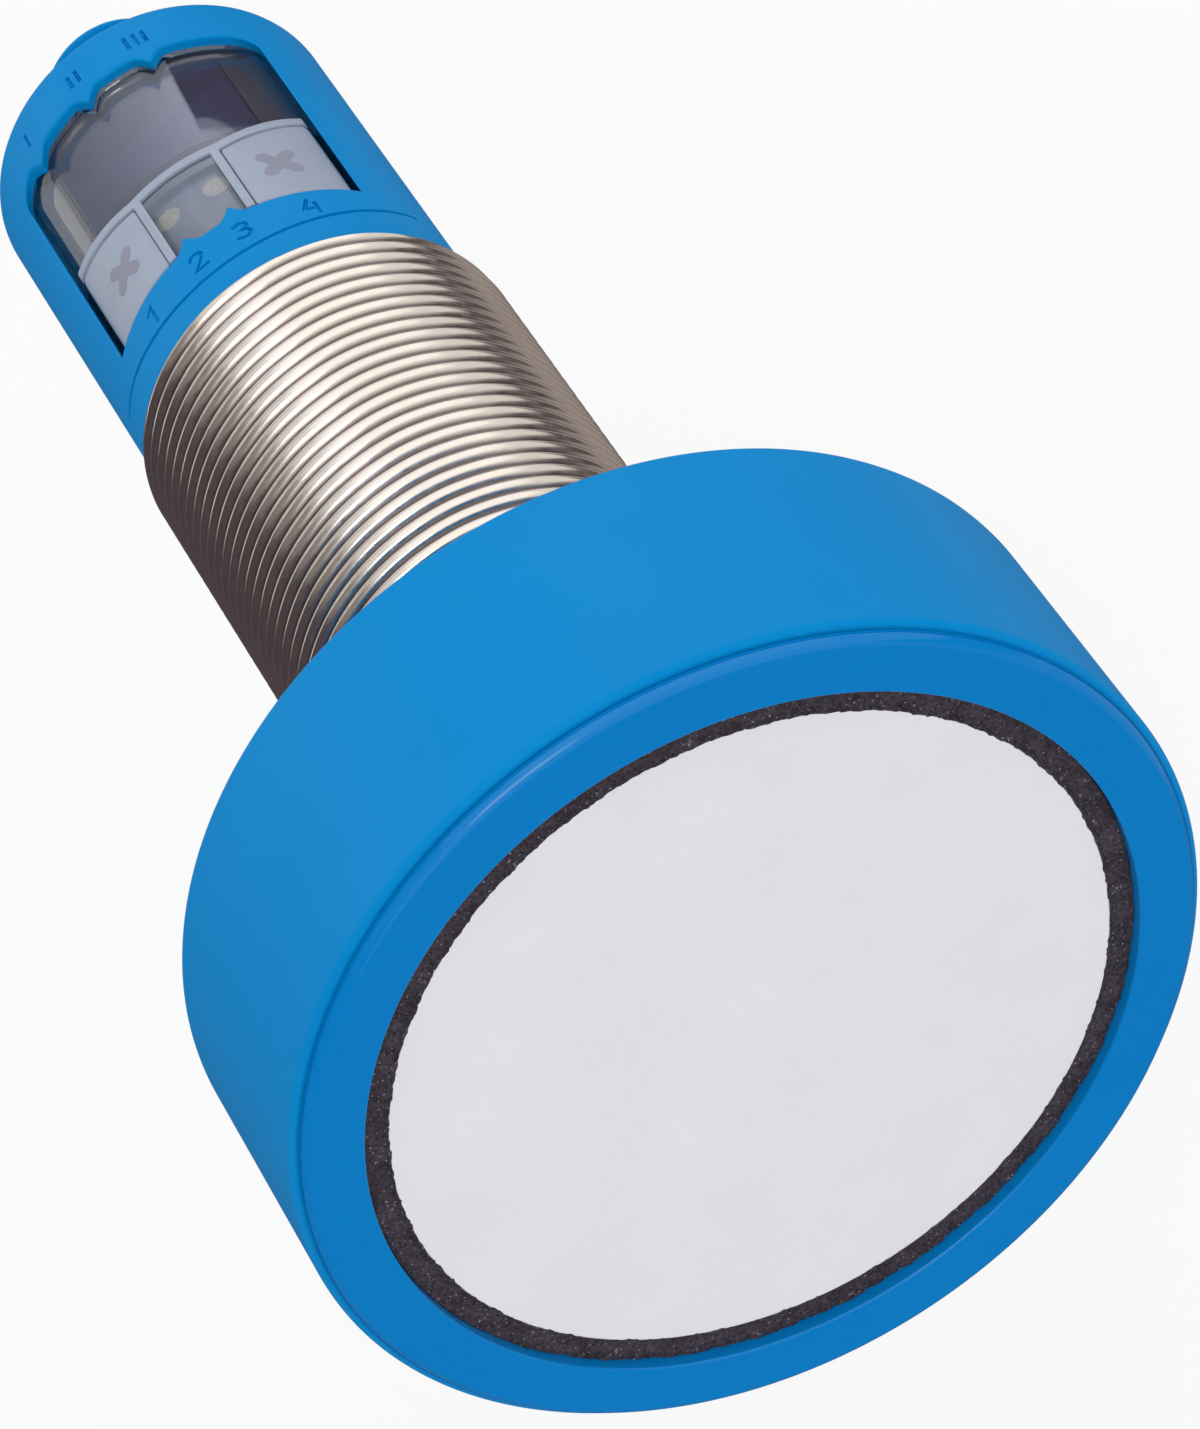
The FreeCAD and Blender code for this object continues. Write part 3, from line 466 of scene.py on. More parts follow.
FOAM_SEGMENTS = 720
# The lap of the foam on the disc: its gap, reach, the power that makes it rare, its edge and its crown
LAP_LIFT, LAP_REACH, LAP_POWER, LAP_EDGE, LAP_CROWN = 0.012, 0.2, 1.5, 0.06, 0.042
# How deep the foam lies at the ring, and how deep and how far out its shoulder is
DIP_LEAST, DIP_SWING = 0.35, 0.3
SHOULDER_LEAST, SHOULDER_SWING, SHOULDER_OUT = 0.1, 0.25, 0.25
FOAM_OUT, FOAM_IN = MOUTH_R - FIT, FACE_R + FIT
foam = Shell()
columns = []
for k in range(FOAM_SEGMENTS):
    angle = 2 * math.pi * k / FOAM_SEGMENTS
    lip = FACE_R - LAP_REACH * ragged(angle, FACE_R, seed=1.7) ** LAP_POWER
    dip = FOAM_FRONT - DIP_LEAST - DIP_SWING * ragged(angle, FOAM_OUT, seed=2.3)
    shoulder = FACE_FRONT + SHOULDER_LEAST + SHOULDER_SWING * ragged(angle, FACE_R, seed=4.1)
    profile = [
        (lip, FACE_FRONT - LAP_LIFT), (lip + LAP_EDGE, FACE_FRONT - LAP_CROWN),
        (FOAM_IN + SHOULDER_OUT, shoulder), ((FOAM_IN + FOAM_OUT) / 2, (shoulder + dip) / 2),
        (FOAM_OUT, dip), (FOAM_OUT, RING_REAR + FIT), (FOAM_R, RING_REAR + FIT), (FOAM_R, FOAM_REAR),
        (FOAM_IN, FOAM_REAR), (FOAM_IN, FACE_FRONT - LAP_LIFT),
    ]
    columns.append(foam.add([on_axis(radius, angle, y) for radius, y in profile]))
loops = list(zip(*columns))
for i in range(len(loops)):
    foam.wall(loops[i - 1], loops[i])
make_piece("foam_surround", foam, black_foam, "sensor", ["foam_ring"])

# %% [markdown]
# Thread
#
# The sleeve has a metric thread, 30 mm by 1.5 mm. Plain rings would not do: the turns have to climb. A
# screw modifier could make them, but its ends need trimming. Here the thread is one long strip. At every
# angle the profile is lifted by that part of a turn, and after a full turn the columns join one pitch
# higher, so the helix closes with no seam. The ends run out under their chamfers.

# %% Thread and sleeve
def thread_profile(pitch):
    """Places along one pitch and depths below the crest: round crest, 60 degree flanks, narrow root."""
    depth, crest_r = pitch / 2, pitch / 3
    bends = [math.radians(angle) for angle in range(-60, 61, 20)]
    crest = [(pitch / 2 + crest_r * math.sin(bend), crest_r * (1 - math.cos(bend))) for bend in bends]
    run = (depth - crest[0][1]) * math.tan(math.radians(30))
    return [(0, depth), (crest[0][0] - run, depth)] + crest + [(crest[-1][0] + run, depth)], depth


def add_thread(shell, crest_r, pitch, start, end, chamfers, segments):
    """A helical strip from start to end, with a chamfer at each end; returns the radius of its root."""
    profile, depth = thread_profile(pitch)
    turns = math.ceil((end - start) / pitch) + 2
    rows = turns * len(profile)
    grid = []
    for k in range(segments):
        angle = 2 * math.pi * k / segments
        column = []
        for row in range(rows):
            turn, step = divmod(row, len(profile))
            y = start + (turn - 1 + k / segments) * pitch + profile[step][0]
            limit = min(crest_r - chamfers[0] + (y - start), crest_r - chamfers[1] + (end - y))
            radius = min(crest_r - profile[step][1], limit)
            if y <= start or y >= end:
                y = min(max(y, start), end)
                radius = crest_r - depth
            column.append(on_axis(max(radius, crest_r - depth), angle, y))
        grid.append(shell.add(column))
    for k in range(segments):
        here, there = grid[k], grid[(k + 1) % segments]
        lift = len(profile) if k == segments - 1 else 0
        for row in range(rows - 1):
            if row + 1 + lift < rows:
                shell.faces.append((here[row], here[row + 1], there[row + 1 + lift], there[row + lift]))
    return crest_r - depth


PITCH = 1.5
THREAD_SEGMENTS = 144
SLEEVE_BORE = SLEEVE_R - 1.9
sleeve = Shell()
root_r = add_thread(sleeve, SLEEVE_R, PITCH, HEAD_REAR, SLEEVE_REAR, chamfers=(0.3, 0.8),
                    segments=THREAD_SEGMENTS)
inside = rounded_corners([
    (root_r, SLEEVE_REAR, 0), (SLEEVE_BORE, SLEEVE_REAR, 0.15), (SLEEVE_BORE, SLEEVE_FRONT, 0.15),
    (NECK_R, SLEEVE_FRONT, 0.15), (NECK_R, HEAD_REAR, 0), (root_r, HEAD_REAR, 0),
])
sleeve.walls(sleeve.rings(inside, THREAD_SEGMENTS))
make_piece("thread_sleeve", sleeve, nickel_plate, "sensor", ["threaded_sleeve"], sharp=50)

# %% [markdown]
# Curved sheets
#
# The cap, the pane, the keys and the filter are curved plates with openings. Each is drawn flat, as if its
# cylinder were unrolled, and rolled up again at the end. Flat, an outline is easy to divide and to shift
# inwards. Where an upright wall meets a sheet, a short curve rounds the edge.

# %% Lines on an unrolled sheet
# A mitred corner is stretched by at most one over this
SHARPEST_MITRE = 0.35


def divided(outline, step):
    """A closed outline with points no further apart than step."""
    points = []
    for here, there in zip(outline, list(outline[1:]) + [outline[0]]):
        here, there = np.array(here, float), np.array(there, float)
        parts = max(1, math.ceil(np.linalg.norm(there - here) / step))
        points += [here + (there - here) * i / parts for i in range(parts)]
    return np.array(points)


def shifted(outline, distance):
    """A closed anticlockwise outline moved inwards by a distance, or outwards if that is negative."""
    outline = np.array(outline, float)
    along = np.roll(outline, -1, axis=0) - outline
    along /= np.linalg.norm(along, axis=1)[:, None]
    inward = np.stack([-along[:, 1], along[:, 0]], axis=1)
    middle = inward + np.roll(inward, 1, axis=0)
    middle /= np.linalg.norm(middle, axis=1)[:, None]
    stretch = 1 / np.maximum(np.sum(middle * inward, axis=1), SHARPEST_MITRE)
    return outline + middle * stretch[:, None] * distance


def rolled_out(outline, radius):
    """An outline seen from above, (x, y), as arc lengths and y on the unrolled sheet of this radius."""
    outline = np.array(outline, float)
    arc = np.arcsin(np.clip(outline[:, 0] / radius, -1, 1)) * radius
    return np.stack([arc, outline[:, 1]], axis=1)


def rolled_up(flat, radius, depth=0.0):
    """Points in space for points on an unrolled sheet, this far below its outside."""
    angle = flat[:, 0] / radius
    return np.stack([(radius - depth) * np.sin(angle), flat[:, 1], (radius - depth) * np.cos(angle)], axis=1)


def rounded_edge(outline, radius, size, steps=4):
    """Rounds the edge between an upright wall and a sheet. A positive size goes into a plate, a negative one
    away from an opening. Returns loops in space, from the wall up, and the flat line where the sheet starts.
    """
    flat = rolled_out(outline, radius)
    start = shifted(flat, size)
    corner, top = rolled_up(flat, radius), rolled_up(start, radius)
    bottom = corner - np.array((0, 0, abs(size)))
    loops = []
    for step in range(steps):
        t = step / steps
        loops.append((1 - t) ** 2 * bottom + 2 * t * (1 - t) * corner + t ** 2 * top)
    return loops, start


print("a square of 4 mm shrunk by 1 mm:", shifted([(0, 0), (4, 0), (4, 4), (0, 4)], 1).tolist())

# %% [markdown]
# Filling a sheet
#
# Openings could be cut with boolean modifiers, but those leave long thin triangles that shade badly. Here
# the outlines, openings and engraved lines become edges of a triangulation, and a regular grid of points
# fills the rest. An engraved line carries its own depth, so engraving is a true shape.

# %% Triangulate a sheet
# A grid point this near to a line, in parts of the step, is left out, and so is a triangle lower than this,
# in mm; points this close, in mm, count as one
NEAR_LINE, THINNEST, SNAP = 0.62, 1e-4, 1e-6


def within(points, outline):
    """For each point, whether it lies inside a closed outline."""
    x, y = points[:, 0], points[:, 1]
    found = np.zeros(len(points), bool)
    for (ax, ay), (bx, by) in zip(outline, np.roll(outline, -1, axis=0)):
        if ay != by:
            found ^= ((ay > y) != (by > y)) & (x < (bx - ax) * (y - ay) / (by - ay) + ax)
    return found


def add_sheet(shell, radius, outer, holes, step, lines=()):
    """A curved sheet of this radius inside the outer line and outside the holes, all flat and anticlockwise.
    Lines are (points, depth). Returns the indices of the outer line's and the holes' points."""
    every = [(outer, 0.0)] + [(hole, 0.0) for hole in holes] + list(lines)
    flat, depths, edges, loops = [], [], [], []
    for points, depth in every:
        start = len(flat)
        flat += [tuple(point) for point in points]
        depths += [depth] * len(points)
        loops.append(range(start, len(flat)))
        edges += [(i, i + 1) for i in range(start, len(flat) - 1)] + [(len(flat) - 1, start)]
    near = KDTree(len(flat))
    for i, (x, y) in enumerate(flat):
        near.insert((x, y, 0), i)
    near.balance()
    low, high = np.min(outer, axis=0), np.max(outer, axis=0)
    counts = np.maximum(np.round((high - low) / step).astype(int), 1)
    grid = np.array([(x, y) for x in np.linspace(low[0], high[0], counts[0] + 1)[1:-1]
                     for y in np.linspace(low[1], high[1], counts[1] + 1)[1:-1]])
    keep = within(grid, outer)
    for hole in holes:
        keep &= ~within(grid, hole)
    for x, y in grid[keep]:
        if near.find((x, y, 0))[2] > NEAR_LINE * min(step):
            flat.append((x, y))
            depths.append(0.0)
    places, _, faces, origins, _, _ = delaunay_2d_cdt([Vector(p) for p in flat], edges, [], 0, SNAP)
    deep = np.array([max((depths[i] for i in origin), key=abs) if origin else 0.0 for origin in origins])
    places = np.array([tuple(place) for place in places])
    new = shell.add(rolled_up(places, radius, deep).tolist())
    centres = np.array([places[face].mean(axis=0) for face in faces])
    sides = np.array([(places[face[1]] - places[face[0]], places[face[2]] - places[face[0]])
                      for face in faces])
    height = np.abs(np.linalg.det(sides)) / np.linalg.norm(sides, axis=2).max(axis=1)
    keep = within(centres, outer) & (height > THINNEST)
    for hole in holes:
        keep &= ~within(centres, hole)
    shell.faces += [tuple(new[i] for i in face) for face, kept in zip(faces, keep) if kept]
    found = {i: new[at] for at, origin in enumerate(origins) for i in origin}
    return [[found[i] for i in loop] for loop in loops[:1 + len(holes)]]


def add_edge(shell, loops, sheet_loop, bottom_loop):
    """Joins a sheet to the wall under it: down over the rounded edge, then straight to the bottom loop."""
    rings = [shell.add(loop.tolist()) for loop in loops]
    shell.walls([bottom_loop] + rings + [sheet_loop])


trial = Shell()
add_sheet(trial, 10, divided([(0, 0), (4, 0), (4, 4), (0, 4)], step=0.5), [], step=(0.5, 0.5))
print("a sheet of 4 mm by 4 mm has", len(trial.faces), "triangles")

# %% [markdown]
# Window outline
#
# The rear cap is moulded in the same satin blue, with a window on its top. Small pointers with hollow
# flanks stand along the front and rear edges of the window. Its outline is drawn once, seen from above,
# because the cap and the pane both follow it.

# %% Window outline
PANE_LOW, PANE_HIGH = node_box("window_pane")
LIP_OVERLAP = 0.7
WINDOW_HALF = PANE_HIGH.x - LIP_OVERLAP
WINDOW_FRONT, WINDOW_REAR = PANE_LOW.y + LIP_OVERLAP, PANE_HIGH.y - LIP_OVERLAP
WINDOW_CORNER = 1.6
LED_LOW, LED_HIGH = node_box("status_led_2")
LED_X, LED_Y = (LED_LOW.x + LED_HIGH.x) / 2, (LED_LOW.y + LED_HIGH.y) / 2
KEY_LOW, KEY_HIGH = node_box("button_right")
KEY_X = (KEY_LOW.x + KEY_HIGH.x) / 2
TALLY_PLACES = (-7.85, -2.25, 3.35)
# A pointer's left half: distance from its middle, and height
TOOTH = [(1.25, 0.0), (0.88, 0.18), (0.55, 0.55), (0.0, 1.3)]


def tooth(middle, edge, towards):
    """A pointer with hollow flanks, from the edge of the window to its tip and back, along x."""
    left = [(middle - across, edge + towards * height) for across, height in TOOTH]
    return left + [(2 * middle - x, y) for x, y in reversed(left[:-1])]


def window_outline():
    """The opening seen from above, anticlockwise: front edge, right side, rear edge, left side."""
    points = [(-WINDOW_HALF, WINDOW_FRONT)]
    for middle in (-LED_X, LED_X):
        points += tooth(middle, WINDOW_FRONT, 1)
    points.append((WINDOW_HALF, WINDOW_FRONT))
    corners = rounded_corners([
        (WINDOW_HALF, WINDOW_FRONT, 0), (WINDOW_HALF, WINDOW_REAR, WINDOW_CORNER),
        (-WINDOW_HALF, WINDOW_REAR, WINDOW_CORNER), (-WINDOW_HALF, WINDOW_FRONT, 0)], steps=8)[1:-1]
    half = len(corners) // 2
    points += [tuple(p) for p in corners[:half]]
    for middle in reversed(TALLY_PLACES):
        points += list(reversed(tooth(middle, WINDOW_REAR, -1)))
    points += [tuple(p) for p in corners[half:]]
    return divided(points, step=0.5)


WINDOW = window_outline()
print("window outline:", len(WINDOW), "points,", round(2 * WINDOW_HALF, 2), "mm wide")

# %% [markdown]
# Marks and seam
#
# Plain stencilled numbers stand in front of the window and tally strokes behind it, and a fine seam runs
# across in front. They could be painted, but true grooves also show their edges when the light is low. Each
# is a line drawn with a pen, with a narrower floor at its depth.

# %% Numbers, tally strokes and the seam
# Pen lines of each number, in parts of its width and height
DIGITS = {
    1: [[(0.1, 0.78), (0.42, 1.0), (0.42, 0.0)]],
    2: [[(0.0, 0.8), (0.12, 0.95), (0.3, 1.0), (0.5, 0.94), (0.6, 0.76), (0.52, 0.56), (0.02, 0.0),
         (0.62, 0.0)]],
    3: [[(0.02, 0.92), (0.28, 1.0), (0.52, 0.9), (0.56, 0.7), (0.42, 0.55), (0.24, 0.52), (0.48, 0.46),
         (0.6, 0.26), (0.5, 0.06), (0.26, 0.0), (0.0, 0.1)]],
    4: [[(0.3, 1.0), (0.02, 0.34), (0.36, 0.34)], [(0.56, 0.72), (0.56, 0.0)]],
}
DIGIT_HEIGHT, DIGIT_WIDTH, DIGIT_MIDDLE = 1.75, 1.8, 0.3
STROKE_HALF, STROKE_DEPTH, STROKE_WALL, SHARPEST_BEND = 0.16, 0.22, 0.05, 0.5
TALLY_PITCH, TALLY_LENGTH = 0.75, 1.3
FRONT_MARKS_Y, REAR_MARKS_Y = WINDOW_FRONT - 3.0, WINDOW_REAR + 1.5
SEAM_Y, SEAM_LEAN, SEAM_END = SLEEVE_REAR + 3.03, math.tan(math.radians(16)), math.radians(69)
SEAM_HALF, SEAM_FLOOR, SEAM_DEPTH, SEAM_POINTS = 0.17, 0.1, 0.3, 75


def stroke(line, half_width):
    """The closed outline of a line drawn with a pen of this half width."""
    line = np.array(line, float)
    along = np.diff(line, axis=0)
    along /= np.linalg.norm(along, axis=1)[:, None]
    side = np.stack([-along[:, 1], along[:, 0]], axis=1)
    sides = np.vstack([side[:1], side[:-1] + side[1:], side[-1:]])
    sides /= np.linalg.norm(sides, axis=1)[:, None]
    stretch = 1 / np.maximum(np.sum(sides * np.vstack([side, side[-1:]]), axis=1), SHARPEST_BEND)
    offset = sides * stretch[:, None] * half_width
    line[0] -= along[0] * half_width
    line[-1] += along[-1] * half_width
    return np.vstack([line - offset, (line + offset)[::-1]])


marks = []
for number, x in zip((1, 2, 3, 4), (-KEY_X, -LED_X, LED_X, KEY_X)):
    middle = CAP_R * math.asin(x / CAP_R)
    for line in DIGITS[number]:
        marks.append([(middle + (a - DIGIT_MIDDLE) * DIGIT_WIDTH, FRONT_MARKS_Y + b * DIGIT_HEIGHT)
                      for a, b in line])
for count, x in zip((1, 2, 3), TALLY_PLACES):
    middle = CAP_R * math.asin(x / CAP_R)
    for place in range(count):
        across = middle + (place - (count - 1) / 2) * TALLY_PITCH
        marks.append([(across, REAR_MARKS_Y), (across, REAR_MARKS_Y + TALLY_LENGTH)])
engraved = []
for line in marks:
    engraved.append((stroke(line, STROKE_HALF), 0.0))
    engraved.append((stroke(line, STROKE_HALF - STROKE_WALL), STROKE_DEPTH))
seam = [(CAP_R * a, SEAM_Y + CAP_R * (1 - math.cos(a)) * SEAM_LEAN)
        for a in np.linspace(-SEAM_END, SEAM_END, SEAM_POINTS)]
engraved += [(stroke(seam, SEAM_HALF), 0.0), (stroke(seam, SEAM_FLOOR), SEAM_DEPTH)]
print("engraved lines:", len(marks) + 1)

# %% [markdown]
# Cap
#
# The cap is a thin wall with a collar in front, which enters the sleeve, and a floor behind with a hole for
# the plug. Its outside and its bore are two sheets, and spun profiles close the ends, so the wall has its
# real thickness at the rim of the window.

# %% Cap
# The grids have as many steps round the axis as there are columns
CAP_COLUMNS, CAP_ROWS, CAP_GRID, BORE_GRID = 192, 30, (0.4548, 0.9), (0.396, 1.5)
CAP_EDGE, CAP_ROUND, CAP_FLOOR, CAP_WALL = 0.25, 1.2, 2.0, 1.8
CAP_BORE = CAP_R - CAP_WALL
NECK_HOLE = 6.95
COLLAR_R, COLLAR_IN = SLEEVE_BORE - FIT, SLEEVE_BORE - FIT - 1.9
CAP_STEP_Y, CAP_INSIDE_Y = SLEEVE_REAR + CAP_WALL, CAP_REAR - CAP_FLOOR
WINDOW_RIM = 0.26


def whole_turn(radius, start, end):
    """The outline of an unrolled full turn, anticlockwise, with one point for each column of the cap."""
    half = math.pi * radius
    across = np.linspace(-half, half, CAP_COLUMNS + 1)
    up = np.linspace(start, end, CAP_ROWS)
    return np.array([(x, start) for x in across] + [(half, y) for y in up[1:-1]]
                    + [(x, end) for x in across[::-1]] + [(-half, y) for y in up[-2:0:-1]])


cap = Shell()
rim, opening = rounded_edge(WINDOW, CAP_R, -WINDOW_RIM)
outside = add_sheet(cap, CAP_R, whole_turn(CAP_R, SLEEVE_REAR + CAP_EDGE, CAP_REAR - CAP_ROUND), [opening],
                    CAP_GRID, engraved)
bore = add_sheet(cap, CAP_BORE, whole_turn(CAP_BORE, CAP_STEP_Y, CAP_INSIDE_Y),
                 [rolled_out(WINDOW, CAP_BORE)], BORE_GRID)
add_edge(cap, rim, outside[1], bore[1])
front_profile = rounded_corners([
    (CAP_R, SLEEVE_REAR + CAP_WALL, 0), (CAP_R, SLEEVE_REAR, CAP_EDGE), (COLLAR_R, SLEEVE_REAR, 0),
    (COLLAR_R, COLLAR_FRONT, 0.2), (COLLAR_IN, COLLAR_FRONT, 0.2), (COLLAR_IN, CAP_STEP_Y, 0),
    (CAP_BORE, CAP_STEP_Y, 0),
])[1:]
rear_profile = rounded_corners([
    (CAP_R, CAP_REAR - 2 * CAP_ROUND, 0), (CAP_R, CAP_REAR, CAP_ROUND), (NECK_HOLE, CAP_REAR, 0.15),
    (NECK_HOLE, CAP_INSIDE_Y, 0.1), (CAP_BORE, CAP_INSIDE_Y, 0),
], steps=8)[1:]
for profile in (front_profile, rear_profile):
    cap.walls(cap.rings(profile, CAP_COLUMNS, -math.pi))
make_piece("cap_shell", cap, satin_pbt, "sensor", ["rear_cap"])

# %% [markdown]
# Clear, smoked and frosted plastics
#
# The pane is moulded in clear polycarbonate, which bends light more than glass does. The display lies
# behind a smoked, slightly milky acrylic filter, and the keys are polycarbonate with a frosted outside, so
# they glow softly. A clear piece lets lamp light through to what is behind it; a shader that only bends
# light would leave it in the dark.

# %% Finish: clear polycarbonate, smoked acrylic, frosted keys
def see_through(name, tint, haze, ior, clear=1.0):
    """Clear plastic: the tint colours what is seen through it, haze is its roughness, in clouds of 4 mm.
    Clear is the part of the light that goes through; the rest is scattered, as in a milky piece."""
    finish, tree, place = start_finish(name)
    cloud = add_node(tree, "TexNoise", {"Vector": place, "Scale": per(4), "Detail": 2.0})
    rough = add_node(tree, "MapRange", {
        "Value": cloud.outputs[0], "From Min": 0.3, "From Max": 0.7, "To Min": 0.5 * haze,
        "To Max": 1.5 * haze})
    glass = add_node(tree, "BsdfPrincipled", {
        "Base Color": linear(tint), "Roughness": rough.outputs[0], "IOR": ior, "Transmission Weight": clear})
    lamp_light = add_node(tree, "BsdfTransparent", {"Color": linear(tint)})
    path = add_node(tree, "LightPath")
    both = add_node(tree, "MixShader", {
        0: path.outputs["Is Shadow Ray"], 1: glass.outputs[0], 2: lamp_light.outputs[0]})
    add_node(tree, "OutputMaterial", {"Surface": both.outputs[0]})
    return finish


def frosted(name, colour, drift):
    """Etched polycarbonate: milky, with light that sinks in. The frost is drawn coarse, 0.15 mm, to show."""
    finish, tree, place = start_finish(name)
    frost = add_node(tree, "TexNoise", {"Vector": place, "Scale": per(0.15), "Detail": 1.0})
    bump = add_node(tree, "Bump", {"Height": frost.outputs[0], "Distance": 0.004 * MM})
    shader = add_node(tree, "BsdfPrincipled", {
        "Base Color": clouds(tree, place, 2.5, 2.0, colour, drift), "Normal": bump.outputs[0],
        "Roughness": 0.42, "IOR": 1.585, "Subsurface Weight": 0.35, "Subsurface Radius": (1.0, 1.0, 1.0),
        "Subsurface Scale": 0.6 * MM})
    add_node(tree, "OutputMaterial", {"Surface": shader.outputs[0]})
    return finish


# Polycarbonate, polished mould: clear, nearly colourless, with sharp highlights
clear_polycarbonate = see_through("clear_polycarbonate", "#f2f4f6", 0.03, 1.585)
# Acrylic sheet, dyed: violet grey and slightly milky, so that what is behind it only just shows
smoked_acrylic = see_through("smoked_acrylic", "#8989b2", 0.06, 1.49, 0.85)
# Polycarbonate, etched mould: pale blue grey, with soft edges and no sharp highlight
frosted_polycarbonate = frosted("frosted_polycarbonate", "#929db0", "#9da7b9")
# The same on the underside of the pane, darker: painted shade, because it lies deep in the window
shaded_etched_polycarbonate = frosted("shaded_etched_polycarbonate", "#666f84", "#70798e")
# Pad-printed ink on the keys: matt, grey-violet
key_ink = moulded_plastic("grey_printing_ink", "#85879a", "#8b8da0", 0.6, 1.5, 0.1, 0.001)
# Diffused epoxy of an unlit light-emitting diode, and of the spot over it: milky cream, glossy
milky_epoxy = moulded_plastic("milky_epoxy", "#a29b93", "#aaa39b", 0.25, 1.52, 0.4, 0.001)
print("window finishes:", clear_polycarbonate.name, smoked_acrylic.name, frosted_polycarbonate.name)

# %% [markdown]
# Places in the window
#
# In the opening lie a clear pane, two keys, two lights and the display. Each key fills a field with a
# slanted rear edge, ribs part the keys from the lights, and a rail parts both from the display. All these
# outlines come from a few sizes, so that the gaps are even on both sides.

# %% Places of the keys, ribs and rail
PANE_R, LIP_R, PANE_IN = CAP_R - 0.7, CAP_BORE - FIT, CAP_BORE - FIT - 0.55
LIP_HALF = PANE_HIGH.x
KEY_GAP, FOOT_LAP, KEY_SLANT = 0.15, 0.5, 1.85
HOLE_IN, HOLE_OUT, HOLE_FRONT = KEY_LOW.x - KEY_GAP, KEY_HIGH.x + KEY_GAP, KEY_LOW.y + FOOT_LAP - KEY_GAP
UPPER_GRID, LOWER_GRID = (0.5, 0.7), (0.6, 0.9)
CIRCLE = np.linspace(0, 2 * math.pi, 33)[:-1]
KEY_LEAN = KEY_SLANT / (HOLE_OUT - HOLE_IN)
RAIL_FRONT = KEY_HIGH.y - KEY_LEAN * (KEY_HIGH.x - KEY_LOW.x) + KEY_GAP
RAIL_REAR, RIB_IN = RAIL_FRONT + 0.8, HOLE_IN - 0.7


def key_field(gap, radius):
    """The opening for the right key, seen from above, or the key itself, smaller all round by a gap."""
    inner, outer, front = HOLE_IN + gap, HOLE_OUT - gap, HOLE_FRONT + gap
    rear_in, rear_out = (RAIL_FRONT - gap + KEY_LEAN * (x - HOLE_IN) for x in (inner, outer))
    return divided(rounded_corners([
        (inner, front, radius), (outer, front, radius), (outer, rear_out, radius), (inner, rear_in, radius),
    ], steps=4), step=0.45)


def on_side(outline, side):
    """An outline that lies on the right, or its mirror image on the left."""
    return outline if side > 0 else (outline * (-1, 1))[::-1]


def add_plate(shell, line, outside, inside, rim_size):
    """A curved plate between two radii with a rounded upper edge."""
    edge, start = rounded_edge(line, outside, rim_size)
    upper = add_sheet(shell, outside, start, [], UPPER_GRID)
    lower = add_sheet(shell, inside, rolled_out(line, inside), [], LOWER_GRID)
    add_edge(shell, edge, upper[0], lower[0])


print("key openings from", round(HOLE_IN, 2), "to", round(HOLE_OUT, 2), "rail at", round(RAIL_FRONT, 2))

# %% [markdown]
# Pane
#
# The pane is a stepped plate: its lip lies under the cap and its field fills the opening, with a hole for
# each key. Three sheets, for the field, the step and the underside, are joined by walls into one closed
# body, since light bends as it should only in a closed one.

# %% Pane
PANE_RIM = 0.12
PANE_GRID, STEP_GRID, UNDER_GRID = (0.5, 0.8), (0.5, 0.5), (0.5, 1.2)
pane_line = shifted(WINDOW, FIT)
lip_line = divided([(-LIP_HALF, PANE_LOW.y), (LIP_HALF, PANE_LOW.y), (LIP_HALF, PANE_HIGH.y),
                    (-LIP_HALF, PANE_HIGH.y)], step=0.6)
key_holes = [on_side(key_field(0, 0), side) for side in (-1, 1)]
pane = Shell()
rim, field = rounded_edge(pane_line, PANE_R, PANE_RIM)
top = add_sheet(pane, PANE_R, field, [rolled_out(hole, PANE_R) for hole in key_holes], PANE_GRID)
step = add_sheet(pane, LIP_R, rolled_out(lip_line, LIP_R), [rolled_out(pane_line, LIP_R)], STEP_GRID)
under = add_sheet(pane, PANE_IN, rolled_out(lip_line, PANE_IN),
                  [rolled_out(hole, PANE_IN) for hole in key_holes], UNDER_GRID)
add_edge(pane, rim, top[0], step[1])
pane.wall(step[0], under[0])
for upper, lower in zip(top[1:], under[1:]):
    pane.wall(upper, lower)
make_piece("clear_window", pane, clear_polycarbonate, "sensor", ["window_pane"])

# %% [markdown]
# Ribs and light spots
#
# Frosted ribs and a rail stand on the pane. The field round the lights is etched on its underside, apart
# from two round spots. The real mould makes all this in one shot; here they are thin plates of their own,
# so that each has one finish.

# %% Ribs, rail and the etched field round the lights
RIB_ROOT, RIB_TOP, RIB_ROUND = PANE_R - 0.04, PANE_HIGH.z, 0.12
rib_line = divided([
    (HOLE_OUT, RAIL_FRONT + KEY_SLANT), (HOLE_OUT, RAIL_REAR + KEY_SLANT), (HOLE_IN, RAIL_REAR),
    (-HOLE_IN, RAIL_REAR), (-HOLE_OUT, RAIL_REAR + KEY_SLANT), (-HOLE_OUT, RAIL_FRONT + KEY_SLANT),
    (-HOLE_IN, RAIL_FRONT), (-HOLE_IN, HOLE_FRONT), (-RIB_IN, HOLE_FRONT), (-RIB_IN, RAIL_FRONT),
    (RIB_IN, RAIL_FRONT), (RIB_IN, HOLE_FRONT), (HOLE_IN, HOLE_FRONT), (HOLE_IN, RAIL_FRONT),
], step=0.4)
ribs = Shell()
add_plate(ribs, rib_line, RIB_TOP, RIB_ROOT, RIB_ROUND)
make_piece("frosted_ribs", ribs, frosted_polycarbonate, "sensor")

